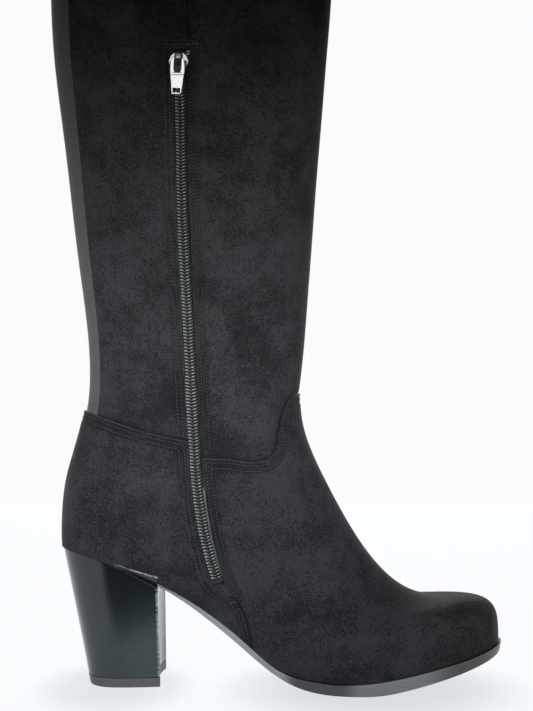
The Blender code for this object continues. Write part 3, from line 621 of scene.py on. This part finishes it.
def beside(line, tree, distance):
    """A line on the sheet, a distance (mm) in from its edge: only one side of the edge is on it."""
    rim = cloud_of(line)
    moved = []
    for point, across in sideways(line, tree.find_nearest):
        choices = [tree.find_nearest(point + across * way * distance * MM) for way in (-1, 1)]
        place = min(choices, key=lambda choice: choice[3])[0]
        if rim.find(place)[2] > RIM_SHARE * distance * MM:
            moved.append(place)
    return moved


def runs(points, gap=6.0):
    """Split a line where it jumps by more than the gap (mm)."""
    parts = [[]]
    for point in points:
        if parts[-1] and (point - parts[-1][-1]).length > gap * MM:
            parts.append([])
        parts[-1].append(point)
    return [part for part in parts if len(part) > 3]


ankle_edge, shaft_edge = edge_line(upper), edge_line(shaft)
print("points along the edges:", len(ankle_edge), len(shaft_edge))

# %% [markdown]
# ## Pressing seams and creases into a sheet
# A sewn seam is a soft trough about a millimetre wide, a crease is a trough or a ridge some
# millimetres wide. Both push the sheet's vertices along their normals by a bell curve of the
# distance to a line. Near the narrow ones the sheet is first divided finely, so that the shape
# is in the mesh and the rest of the sheet stays light.

# %% Refine and press
def refine(made, lines, reach, longest):
    """Divide the faces within reach (mm) of the lines until no edge there is longer (mm)."""
    cloud = cloud_of([point for line in lines for point in line])
    for _ in range(5):
        with editing(made, "EDGE") as mesh:
            near = {vert for vert in mesh.verts if cloud.find(vert.co)[2] < reach * MM}
            coarse = [edge for edge in mesh.edges
                      if edge.calc_length() > longest * MM and near.intersection(edge.verts)]
            if choose(made, coarse):
                bpy.ops.mesh.subdivide(number_cuts=1, smoothness=0)
        if not coarse:
            break
    print(made.name, "refined to", len(made.data.polygons), "faces")


def attribute_of(made, name):
    return made.data.attributes.get(name) or made.data.attributes.new(name, "FLOAT", "POINT")


def press(made, lines, depth, width, painted_shade=0.0):
    """Push the sheet in (or out, where depth is below 0) by depth mm along lines width mm wide.
    The last argument paints that much shade into the trough.
    """
    cloud = cloud_of([point for line in lines for point in line])
    normals = [vertex.normal.copy() for vertex in made.data.vertices]
    painted_recess_shade = attribute_of(made, "painted_recess_shade").data
    for vertex, normal, shade in zip(made.data.vertices, normals, painted_recess_shade):
        off = cloud.find(vertex.co)[2] / (width * MM)
        if off < 3:
            bell = math.exp(-off * off)
            vertex.co -= normal * depth * MM * bell
            shade.value = max(shade.value, painted_shade * bell)


STITCH_STEP = 1.9


def dimple(made, lines):
    """Pull the sheet in where the needle went through, once a stitch, and paint each hole dark as
    shade.
    """
    holes = [point for line in lines for point in even(line, STITCH_STEP)]
    press(made, [holes], 0.26, 0.8, painted_shade=1.0)


def tint(made, patches):
    """Lighten or darken the suede in soft patches: (place, radius in mm, how much).
    Most stand for brushed fibres; a few dark ones are painted shade.
    """
    for vertex, nap_and_shade in zip(made.data.vertices, attribute_of(made, "nap_and_shade").data):
        for place, radius, much in patches:
            off = (vertex.co - place).length / (radius * MM)
            if off < 2.5:
                nap_and_shade.value += much * math.exp(-off * off)


# %% [markdown]
# ## Where the seams run
# The foot part is sewn over the shaft with two rows of stitches inside its edge, and the same two
# rows run down both sides of the zip. Below the zip a seam parts the vamp from the counter. The
# outer side has no zip, so its side seam carries on up the shaft.

# %% Lines of the seams
ZIP_LINE = [  # height, x
    (50, 56.6), (57.3, 53.4), (71, 49.2), (87.3, 45.4), (103.5, 42.9), (119.8, 41.3),
    (152.3, 39.4), (201, 37.0), (276.9, 33.7), (341.9, 32.6), (360, 32.4)]
ROW_OFFSETS = (1.9, 4.7)
SLOT_TOP, HALF_SLOT = 348.0, 3.75


def zip_x(z):
    return float(np.interp(z, *zip(*ZIP_LINE)))


def from_zip(point):
    """How far a point lies in front of the zip's line or behind it, in mm."""
    return abs(point.x / MM - zip_x(point.z / MM))


def along_slot(point, off):
    """True where a row runs beside the slot, and not along the shaft's lower edge."""
    return (point.y < 0 and point.z < (SLOT_TOP - 1) * MM
            and abs(from_zip(point) - HALF_SLOT - off) < 0.8)


ankle_rows = [row for off in ROW_OFFSETS for row in runs(beside(ankle_edge, skins[0], off))]
shaft_rows = [row for off in ROW_OFFSETS for row in runs(
    [point for point in beside(shaft_edge, skins[1], off) if along_slot(point, off)])]

waist_seam = drawn("inner", (58.6, 51.5), (61.5, 50), (65.5, 45.5), (68.4, 39), (70.2, 31),
                   (71.2, 23))
outer_seam = drawn("outer", (52, 139), (54.5, 110), (58, 82), (62.5, 60), (67, 43), (70.8, 24))
top_seam = drawn("inner", (38.2, 350), (37.2, 362), (36.4, 374), (36, 420), (36.2, 480),
                 (36.5, 540), (36.5, 599))
side_seam = drawn("outer", (50, 143), (44, 190), (38, 250), (35, 330), (35, 420), (36, 520),
                  (36.5, 599))
tape_line = drawn("inner", (-13, 348.5), (6, 348), (27, 347.6))
tack_rows = [drawn("inner", (23, z), (43, z)) for z in (347.9, 349.9, 351.9)]

HEM_DROPS = (8.0, 10.2)
collar = [point for point in shaft_edge if point.z > cad_box[1].z - 1.5 * MM]
hem_rows = [[nearest_skin(point - Vector((0, 0, drop)) * MM)[0] for point in run]
            for drop in HEM_DROPS for run in runs(collar)]
print("rows beside the edges:", len(ankle_rows + shaft_rows), "hem rows:", len(hem_rows))

# %% Seam stitches beside the drawn seams
def shifted(line, distance):
    """A drawn line moved sideways on the skin by distance mm."""
    return [nearest_skin(point + across * distance * MM)[0]
            for point, across in sideways(line, nearest_skin)]


SEAM_ROWS = (-1.5, -3.9)
top_ridge = shifted(top_seam, 0.95)
foot_seams = [waist_seam, outer_seam]
foot_rows = ankle_rows + [shifted(seam, off) for seam in foot_seams for off in SEAM_ROWS]
leg_seams, leg_rows = [top_seam, side_seam], shaft_rows + hem_rows

# %% Press the foot part
refine(upper, foot_rows + foot_seams, 1.3, 0.8)
press(upper, foot_seams, 0.55, 0.75, painted_shade=1.0)
press(upper, foot_rows, 0.48, 1.05, painted_shade=0.8)
dimple(upper, foot_rows)

# %% Press the shaft
refine(shaft, leg_rows + tack_rows + leg_seams, 1.2, 0.8)
refine(shaft, [ankle_edge], 1.8, 1.2)
press(shaft, leg_seams, 0.45, 0.8, painted_shade=0.8)
press(shaft, [ankle_edge], 0.45, 1.9, painted_shade=1.0)
press(shaft, leg_rows, 0.30, 0.95, painted_shade=0.45)
press(shaft, tack_rows, 0.25, 0.7, painted_shade=0.6)
press(shaft, [tape_line], 0.22, 1.0, painted_shade=0.35)
press(shaft, [top_ridge], -0.22, 0.6)
dimple(shaft, leg_rows)

# %% [markdown]
# ## Creases and clouds
# Suede on a tall shaft settles: shallow dents behind the ankle, a soft fold over the instep, a
# slight pull beside the zip. Each is listed in the boot's own millimetres.

# %% Place the folds
FOLDS = {  # side: depth, width and line in (x, z)
    "inner": [
        (0.35, 3.2, [(18, 196), (10, 178), (3, 160)]),
        (0.40, 4.0, [(27, 166), (30, 152), (34, 143)]),
        (0.45, 4.5, [(90, 126), (98, 117), (103, 106)]),
        (0.35, 4.0, [(64, 176), (74, 168), (86, 165)]),
        (0.30, 5.0, [(12, 120), (24, 100), (36, 88)]), (0.30, 5.5, [(70, 78), (88, 60), (104, 50)]),
        (0.22, 1.6, [(165, 42), (174, 40.5), (183, 40)])],
    "outer": [
        (0.40, 3.4, [(18, 196), (8, 176), (0, 160)]), (0.40, 4.2, [(64, 178), (78, 168), (90, 166)]),
        (0.45, 4.5, [(92, 124), (100, 113), (104, 100)]),
        (0.30, 5.0, [(14, 118), (28, 100), (40, 86)])],
}
for side, folds in FOLDS.items():
    for depth, width, line in folds:
        for made in (upper, shaft):
            press(made, [drawn(side, *line)], depth, width)

# Most patches are brushed pile. Painted shade: the large dark one high on the inner shaft (40, 412),
# where the light falls off, and the small dark ones at the waist's edge (58, 45) and by the sole
# (98, 25).
PATCHES = {  # side: x, z, radius, how much lighter
    "inner": [
        (-7, 282, 18, 0.9), (70, 302, 15, 0.7), (70.6, 255, 16, 0.4), (16.4, 206, 14, 0.4),
        (13.7, 317, 18, -0.4), (81, 223, 12, -0.5), (30, 150, 9, -0.7), (97, 117, 10, -0.4),
        (60, 470, 26, 0.4), (20, 540, 26, -0.4), (40, 412, 52, -1.6), (56, 332, 14, -1.0),
        (88, 318, 10, 0.4), (50, 300, 10, -0.3), (74, 328, 20, -0.5), (10, 230, 13, -0.9),
        (54, 218, 12, -0.9), (86, 84, 34, 1.5), (160, 42, 34, 0.7), (192, 42, 14, 0.6),
        (20, 252, 32, 0.7), (76, 250, 26, 0.7), (8, 166, 26, -1.5), (92, 196, 15, 0.7),
        (61, 133, 8, -0.8), (45, 140, 9, -0.9), (92, 150, 11, 0.6), (24, 128, 8, -0.5),
        (3, 110, 13, -0.9), (76, 63, 15, 1.2), (42, 330, 10, -0.5), (32, 72, 7, -0.6),
        (58, 45, 8, -0.7), (98, 25, 10, -0.5)],
    "outer": [
        (20, 300, 22, 0.5), (70, 240, 20, -0.4), (10, 200, 18, 0.4), (60, 420, 26, 0.4),
        (30, 520, 26, -0.4), (86, 84, 34, 0.9), (160, 42, 34, 0.6), (192, 42, 14, 0.6)],
}
patches = [(on_skin(x, z, side), radius, much)
           for side, places in PATCHES.items() for x, z, radius, much in places]
for made in (upper, shaft):
    tint(made, patches)
print("folds:", sum(map(len, FOLDS.values())), "patches:", len(patches))

# %% Give the walls their thickness
def thicken(made, thickness, outside, inside, edge=0.4):
    """Add the inner wall, round the rims, and dress both sides."""
    apply(made, "SOLIDIFY", thickness=thickness * MM, offset=-1, material_offset=1)
    round_edges(made, edge)
    dress(made, outside, inside, smooth=55)
    report(made)


thicken(upper, 1.8, suede, lining)
thicken(shaft, 1.6, suede, lining)
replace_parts(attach(upper, "boot"), "upper")
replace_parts(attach(shaft, "boot"), "shaft")

# %% [markdown]
# ## Elastic gore
# The strip up the back is a knitted elastic with fine cross ribs, a little over a millimetre
# apart. They are real ridges: the strip's long edges are cut into short ones, which rise and
# fall as a wave up the strip.

# %% Rib the gore
def ladders(mesh):
    """The upright edges of the strip, in rings that cross the same row of quads."""
    left = dict.fromkeys(edge for edge in mesh.edges
                         if abs(edge.verts[0].co.z - edge.verts[1].co.z) > 0.7 * edge.calc_length())
    while left:
        ring, waiting = [], [left.popitem()[0]]
        while waiting:
            edge = waiting.pop()
            ring.append(edge)
            for face in edge.link_faces:
                facing = [other for other in face.edges if not set(other.verts) & set(edge.verts)]
                if len(face.edges) == 4 and facing[0] in left:
                    del left[facing[0]]
                    waiting.append(facing[0])
        yield ring


def cut_tall_edges(made, longest):
    with editing(made, "EDGE") as mesh:
        for ring in list(ladders(mesh)):
            cuts = math.ceil(max(edge.calc_length() for edge in ring) / (longest * MM)) - 1
            if cuts > 0:
                bmesh.ops.subdivide_edges(mesh, edges=ring, cuts=cuts, use_grid_fill=True)
        bmesh.update_edit_mesh(made.data)


RIB_HEIGHT = 0.13
cut_tall_edges(gore, RIB_STEP / 2.6)
normals = [vertex.normal.copy() for vertex in gore.data.vertices]
for vertex, normal in zip(gore.data.vertices, normals):
    vertex.co += normal * RIB_HEIGHT * MM * math.sin(2 * math.pi * vertex.co.z / (RIB_STEP * MM))
thicken(gore, 1.4, elastic, lining, edge=0.25)
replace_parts(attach(gore, "boot"), "back_gore")

# %% [markdown]
# ## Stitches
# One stitch is a short raised thread. It is modelled once, from a small sphere drawn out along
# the seam, and copied along every row into one mesh.

# %% Lay copies along a line
def template(made):
    """The vertices and faces of a small modelled piece, which is then removed."""
    corners = np.array([vertex.co[:] for vertex in made.data.vertices])
    faces = [list(face.vertices) for face in made.data.polygons]
    bpy.data.objects.remove(made)
    return corners, faces


def joined(patterns):
    """Several patterns as one."""
    corners, faces = [], []
    for part, its_faces in patterns:
        faces += [[len(corners) + index for index in face] for face in its_faces]
        corners += part.tolist()
    return np.array(corners), faces


def copies(name, pattern, places):
    """One mesh with a copy of the pattern at each 4 by 4 matrix."""
    corners, faces = pattern
    moved = [(corners @ np.array(place)[:3, :3].T + np.array(place)[:3, 3], faces)
             for place in places]
    vertices, polygons = joined(moved)
    mesh = bpy.data.meshes.new(name)
    mesh.from_pydata(vertices.tolist(), [], polygons)
    mesh.shade_smooth()
    return shown(name, mesh)


def stance(place, along, facing, size=(1, 1, 1)):
    """A matrix with x along the line and z out of the skin."""
    side = facing.cross(along).normalized()
    out = along.cross(side).normalized()
    columns = Matrix((along * size[0], side * size[1], out * size[2])).transposed()
    return Matrix.Translation(place) @ columns.to_4x4()


def stitch_places(line, lift=0.03):
    points = even(line, STITCH_STEP)
    for first, second in zip(points, points[1:]):
        place, facing = nearest_skin((first + second) / 2)
        yield stance(place + facing * lift * MM, (second - first).normalized(), facing)


# %% Model a stitch and sew the rows
STITCH_SIZE = (0.76, 0.27, 0.22)     # half of its length, breadth and height
stitch = fresh(bpy.ops.mesh.primitive_uv_sphere_add, "stitch", segments=6, ring_count=5, radius=1)
with editing(stitch, pick="SELECT"):
    bpy.ops.transform.resize(value=[length * MM for length in STITCH_SIZE])
stitch_pattern = template(stitch)

skins = [tree_of(made) for made in (upper, shaft, gore)]
for name, lines in (("foot_stitches", foot_rows), ("shaft_stitches", leg_rows + tack_rows)):
    places = [place for line in lines for place in stitch_places(line)]
    made = copies(name, stitch_pattern, places)
    dress(made, thread)
    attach(made, "boot")
    print(name, len(places))

# %% [markdown]
# ## Coil zip
# Each side of a nylon zip is a spiral whose loops hook over each other along the middle. From
# outside one sees a row of shallow Vs. One row is modelled by extruding a small ring along its
# path, and copied every 1.75 mm down the line of the zip.

# %% Extrude a wire
def wire(name, path, radius):
    """A closed tube along the path (mm), made by extruding a ring and moving it on."""
    points = [Vector(point) * MM for point in path]
    before = (points[1] - points[0]).normalized()
    made = fresh(bpy.ops.mesh.primitive_circle_add, name, vertices=6, radius=radius * MM,
                 fill_type="NGON", location=points[0],
                 rotation=before.to_track_quat("Z", "Y").to_euler())
    bpy.ops.object.transform_apply(location=True, rotation=True)
    with editing(made, pick="SELECT"):
        for last, here, ahead in zip(points, points[1:], points[2:] + points[-1:]):
            along = (ahead - last).normalized()
            bpy.ops.mesh.extrude_region_move(TRANSFORM_OT_translate={"value": here - last})
            turn = before.rotation_difference(along)
            if abs(turn.angle) > 1e-4:
                bpy.ops.transform.rotate(
                    value=-turn.angle, orient_axis="Z", center_override=here, orient_type="GLOBAL",
                    orient_matrix=turn.axis.to_track_quat("Z", "Y").to_matrix())
            before = along
        bpy.ops.mesh.select_all(action="SELECT")
        bpy.ops.mesh.normals_make_consistent(inside=False)
    return made


COIL_STEP = 1.75
LOOP = [  # wire radius, then its path; the wire dives under the tape between the three
    (0.48, [(-2.95, 0.12, -0.7), (-2.85, 0.08, 0.15), (-2.45, 0.0, 0.46), (-2.0, -0.08, 0.3),
            (-1.7, -0.14, -0.5)]),
    (0.34, [(-1.5, -0.18, -0.4), (-1.2, -0.3, 0.16), (-0.75, -0.52, 0.28), (-0.3, -0.78, 0.08),
            (-0.05, -0.92, -0.6)]),
    (0.45, [(0.4, -0.46, -0.6), (0.7, -0.42, 0.0), (1.25, -0.26, 0.24), (1.95, 0.0, 0.28),
            (2.55, 0.3, 0.06), (2.8, 0.46, -0.6)]),
]
row_pattern = joined([template(wire("loop", path, radius)) for radius, path in LOOP])

# %% Follow the zip's strip
STRIP_TREES = [tree_of(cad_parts["zip_chain"])]
STRIP_ENDS = [end.z / MM + away for end, away in zip(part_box("zip_chain"), (1.5, -1.5))]
COIL_LOW, COIL_HIGH, COIL_LIFT = 60.0, 344.0, 0.32
COIL_SWAY = [  # height, how far the coil sits off the slot's middle, how wide it has been pulled
    (63, 0.40, 1.02), (79, 0.35, 1.02), (95, 0.15, 1.0), (112, 0.0, 0.94), (128, 0.0, 0.92),
    (144, -0.1, 0.98), (160, -0.1, 0.98), (176, -0.1, 0.90), (205, -0.1, 0.88), (225, -0.4, 0.89),
    (242, -0.5, 0.89), (262, -0.4, 0.88), (285, -0.1, 0.87), (320, -0.1, 0.87),
]


def sway(z):
    """The coil's offset (mm) and width at a height."""
    levels, *columns = zip(*COIL_SWAY)
    return [np.interp(z, levels, column) for column in columns]


def strip_skin(x, z):
    return on_skin(x, z, trees=STRIP_TREES)


def zip_frame(z):
    """A place on the zip's centre line: x across, y up the zip, z out of the boot."""
    x = zip_x(z)
    under, over = max(z - 4, STRIP_ENDS[0]), min(z + 4, STRIP_ENDS[1])
    up = (strip_skin(zip_x(over), over) - strip_skin(zip_x(under), under)).normalized()
    right = (strip_skin(x + 2, z) - strip_skin(x - 2, z)).normalized()
    out = right.cross(up).normalized()
    columns = Matrix((up.cross(out).normalized(), up, out)).transposed()
    return Matrix.Translation(strip_skin(x, z)) @ columns.to_4x4()


places, z = [], COIL_LOW
while z < COIL_HIGH:
    spot, (off, wide) = zip_frame(z), sway(z)
    places.append(spot @ Matrix.Translation((off * MM, 0, COIL_LIFT * MM))
                  @ Matrix.Diagonal((wide, 1, 1, 1)))
    z += COIL_STEP * spot.to_3x3().col[1].z
half = len(places) // 2
# Painted shade between the coil's loops: 1 below their crests, where the nylon is painted dark.
gap_shade = np.clip((0.62 - row_pattern[0][:, 2] / MM) / 0.42, 0, 1)     # 1 below the loops' crests
for name, part in (("coil_low", places[:half]), ("coil_high", places[half:])):
    made = copies(name, row_pattern, part)
    attribute_of(made, "painted_recess_shade").data.foreach_set("value", np.tile(gap_shade, len(part)))
    dress(made, nylon)
    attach(made, "boot")
print("coil rows:", len(places))

# %% Sew the coil to its tape
THREAD_ACROSS, THREAD_OUT, THREAD_RADIUS = -1.78, 0.46, 0.22
sewn = wire("coil_thread", [
    zip_frame(z) @ (Vector((THREAD_ACROSS + sway(z)[0], 0, THREAD_OUT)) * MM) / MM
    for z in np.arange(COIL_HIGH, COIL_LOW, -3.0)], THREAD_RADIUS)
dress(sewn, tape, smooth=60)
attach(sewn, "boot")


def grid(name, across, along, place_of):
    """A grid of faces whose corners lie where place_of puts them, given shares from 0 to 1."""
    made = fresh(bpy.ops.mesh.primitive_grid_add, name,
                 x_subdivisions=across, y_subdivisions=along, size=2)
    for vertex in made.data.vertices:
        vertex.co = place_of((vertex.co.x + 1) / 2, (vertex.co.y + 1) / 2)
    made.data.update()
    return made


def band(name, low, high, half, middle, place_of, thickness, material, across=4, step=1.5):
    """A narrow strip of cloth in the slot, from one height to another, half so wide each way."""
    made = grid(name, across, round((high - low) / step), lambda right, up: place_of(
        middle - half + 2 * half * right, low + (high - low) * up))
    apply(made, "SOLIDIFY", thickness=thickness * MM, offset=1)
    round_edges(made, 0.12, 1)
    dress(made, material, smooth=50)
    return made


def beside_coil(x, z):
    return zip_frame(z) @ (Vector((x, 0, 0.25)) * MM)


def across_slot(x, z, half=4.8):
    """A place in the slot, a little below the skin on both sides of it."""
    left, right = on_skin(zip_x(z) - half, z), on_skin(zip_x(z) + half, z)
    return left.lerp(right, (x + half) / (2 * half)) + Vector((0, 0.9, 0)) * MM


edge = band("tape_edge", 64, 110, 0.525, 3.475, beside_coil, 0.3, satin)
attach(edge, "boot")
foot = band("slot_foot", 50.5, 57.3, 4.2, 0, across_slot, 0.6, suede, across=8, step=0.8)
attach(foot, "boot")

# %% [markdown]
# ## Hard pieces
# Slider, pull, stops, heel, tip and sole keep their CAD shapes. A copy has its sharp edges
# rounded, because a real edge always catches a thin line of light.

# %% Round the metal
HARD_ANGLE = 35     # an edge that turns by more than this is a sharp one


def crease_sharp(made):
    """Crease the sharp edges, so that subdividing keeps them."""
    with reading(made, keep=True) as mesh:
        layer = mesh.edges.layers.float.new("crease_edge")
        for edge in mesh.edges:
            if edge.calc_face_angle(math.pi) > math.radians(HARD_ANGLE):
                edge[layer] = 1.0


def hard_copy(node, name, edge, segments, material, body, levels=0):
    """A copy that replaces its node. With levels, its curved sides are subdivided first."""
    made = copy_of(node, name)
    if levels:
        crease_sharp(made)
        apply(made, "SUBSURF", levels=levels, render_levels=levels)
    round_edges(made, edge, segments, HARD_ANGLE)
    dress(made, material, smooth=40)
    apply(made, "WEIGHTED_NORMAL", keep_sharp=True)
    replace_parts(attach(made, body), node)
    report(made)


hard_copy("zip_slider", "slider_metal", 0.45, 3, plating, "boot")
hard_copy("zip_pull", "pull_tab", 0.16, 2, chrome, "pull")
hard_copy("zip_bottom_stop", "bottom_stop", 0.15, 2, nickel, "boot")
hard_copy("outsole", "sole_plate", 0.35, 2, sole, "boot", levels=2)
hard_copy("heel_block", "heel_stack", 0.25, 2, heel, "boot", levels=2)
hard_copy("heel_tip", "heel_lift", 0.3, 2, rubber, "boot", levels=2)
dress(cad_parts["insole"], sock)
dress(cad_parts["zip_chain"], tape)

# %% Set the top stops and the bar tack
STOP_SIZE, STOP_EDGE = (1.9, 0.62, 0.7), 0.18
TOP_STOPS = [(37.3, 346.0), (37.0, 344.6)]
TACKS = [  # the two ends of each stitch
    (37.6, 351.6, 38.2, 349.6), (41.0, 350.6, 42.6, 349.4), (36.6, 350.2, 37.4, 348.8),
    (39.4, 351.2, 40.2, 349.8)]
PROUD = Vector((0, -0.15, 0)) * MM

stop = fresh(bpy.ops.mesh.primitive_cube_add, "stop", size=1)
with editing(stop, pick="SELECT"):
    bpy.ops.transform.resize(value=[length * MM for length in STOP_SIZE])
    bpy.ops.mesh.bevel(offset=STOP_EDGE * MM, segments=2, affect="EDGES")
stops = copies("top_stops", template(stop), [
    stance(on_skin(x, z) + PROUD, Vector((1, 0, 0.12)).normalized(), INNER) for x, z in TOP_STOPS])
dress(stops, moulded, smooth=40)
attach(stops, "boot")

tacks = copies("bar_tack", stitch_pattern, [
    stance(on_skin((x + u) / 2, (z + w) / 2) + PROUD, Vector((u - x, 0, w - z)).normalized(),
           INNER, (1.4, 1, 1)) for x, z, u, w in TACKS])
dress(tacks, satin)
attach(tacks, "boot")

# %% [markdown]
# ## Lip of the heel
# Near its breast the heel's covering rises over the upper as a thin lip, on both sides. It is a
# grid laid on the surface, given a wall and rounded, in the heel's own gloss.

# %% Lay the lip on the skin
LIP_TOP = [(-4, 69.0), (-1.5, 68.2), (5.1, 65.6), (11.5, 63.6), (17, 62.0), (20.2, 61.2)]
LIP_FOOT = [(-4, 67.4), (5, 62.4), (13, 58.2), (20.2, 54.2)]
LIP_WALL, LIP_COLUMNS, LIP_ROWS = 0.7, 24, 6
lip_skins = [tree_of(upper), tree_of(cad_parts["heel_block"])]


def lip_place(side, along, up):
    """Just outside the skin, or level with the heel's wall where a ray meets nothing."""
    x = LIP_TOP[0][0] + (LIP_TOP[-1][0] - LIP_TOP[0][0]) * along
    low, high = (np.interp(x, *zip(*line)) for line in (LIP_FOOT, LIP_TOP))
    z = low + (high - low) * up
    place = on_skin(x, z, side, lip_skins)
    if place is None:
        wall = lip_skins[1].find_nearest(Vector((x, SIDES[side] * 26, z)) * MM)[0]
        place = Vector((x * MM, wall.y, z * MM))
    return place + Vector((0, SIDES[side] * LIP_WALL, 0)) * MM


def level_rows(made, reach=3):
    """Give each corner the middle y of its neighbours: a stray ray would leave a dent."""
    rows = np.array([vertex.co.y for vertex in made.data.vertices]).reshape(-1, LIP_COLUMNS + 1)
    level = [[np.median(row[max(0, i - reach):i + reach + 1]) for i in range(len(row))]
             for row in rows]
    for vertex, y in zip(made.data.vertices, np.ravel(level)):
        vertex.co.y = y


for side in SIDES:
    flap = grid("heel_lip_" + side, LIP_COLUMNS, LIP_ROWS, lambda *shares: lip_place(side, *shares))
    level_rows(flap)
    if side == "outer":
        with editing(flap, pick="SELECT"):
            bpy.ops.mesh.flip_normals()
    apply(flap, "SOLIDIFY", thickness=0.9 * LIP_WALL * MM, offset=-1)
    round_edges(flap, 0.22)
    dress(flap, lip, smooth=50)
    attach(flap, "boot")

# %% [markdown]
# ## Floor and light
# A white floor, and a white room behind it. Three soft boxes stand low in front, so the foot is
# lit more than the top of the shaft. A panel, a window and a box behind it draw edges on the
# heel, the pull and the shaft. The paper ends in front of the boot, between the two y of
# FLOOR_FADE, so that the heel mirrors a dark room.

# %% Set the stage
FLOOR_FADE = (-150, -85)
# Painted shadows on the paper under the forefoot and the heel: there its glow is darker and bluer.
PAINTED_SHADOWS = [((138, -25), (95, 85), 0.75), ((-4, -20), (50, 70), 0.55)]      # place, size, how dark

paper = Finish("floor_paper", 0.9, 0.1, Emission_Strength=0.93)
forward, across, _ = paper.axes()
shade = 0.0
for place, size, dark in PAINTED_SHADOWS:
    east, north = ((axis - middle) * (1 / reach)
                   for axis, middle, reach in zip((forward, across), place, size))
    shade = paper.between(east * east + north * north, 1.0, 0.0) * dark + shade
# behind the heel the paper reaches further to the front
nearer = across + paper.maths("MAXIMUM", -1.0 * forward - 20, 0.0)
paper.feed(Base_Color=paper.blend(paper.noise(60), (0.09, 0.09, 0.09), (0.11, 0.11, 0.11)),
           Emission_Color=paper.blend(shade, (0.96, 0.98, 1.0), (0.62, 0.67, 0.72)),
           Alpha=paper.between(nearer, *FLOOR_FADE))

floor = fresh(bpy.ops.mesh.primitive_plane_add, "floor", size=1)
floor.data.transform(Matrix.Translation((0.08, 0.25, 0)) @ Matrix.Diagonal((1.6, 1.25, 1, 1)))
dress(floor, paper)

# %% Build the room
# The camera sees it bright. For reflections it is dark in front and half bright behind.
ROOM_SEEN, ROOM_FRONT, ROOM_BEHIND = 0.965, 0.04, 0.60
world = bpy.data.worlds.new("white_room")
bpy.context.scene.world = world
world.use_nodes = True
room = Nodes(world.node_tree)
back = room.node("ShaderNodeSeparateXYZ", {}, room.node("ShaderNodeTexCoord", {}), output=1)
glow = room.node("ShaderNodeMapRange", {"interpolation_type": "SMOOTHSTEP"},
                 back, -0.2, 0.7, ROOM_FRONT, ROOM_BEHIND)
seen = room.node("ShaderNodeLightPath", {})
background = world.node_tree.nodes["Background"]
background.inputs["Color"].default_value = (1, 1, 1, 1)
room.join(room.node("ShaderNodeMix", {}, Factor=seen, A=glow, B=ROOM_SEEN),
          background.inputs["Strength"])

# %% Lamps
def soft_box(name, place, aim, size, power, spread=180):
    light = bpy.data.lights.new(name, "AREA")
    light.shape = "RECTANGLE"
    light.size, light.size_y = size[0] * MM, size[1] * MM
    light.energy, light.spread = power, math.radians(spread)
    lamp = shown(name, light)
    lamp.location = Vector(place) * MM
    lamp.rotation_euler = (Vector(aim) * MM - lamp.location).to_track_quat("-Z", "Y").to_euler()


soft_box("left_box", (-520, -640, 158), (60, 0, 158), (320, 90), 0.31, spread=33)
soft_box("right_box", (680, -640, 158), (70, 0, 158), (320, 90), 0.31, spread=33)
soft_box("front_box", (80, -830, 158), (80, 0, 158), (600, 90), 0.51, spread=31)
soft_box("side_panel", (-620, -330, 120), (0, 0, 60), (420, 400), 0.38)
soft_box("pull_window", (-26, -900, 511), (31, 0, 329), (300, 130), 0.16)
soft_box("back_box", (140, 950, 420), (80, 0, 280), (900, 700), 1.8)

# %% Finish
bpy.context.scene.view_settings.view_transform = "Standard"
bpy.context.view_layer.update()
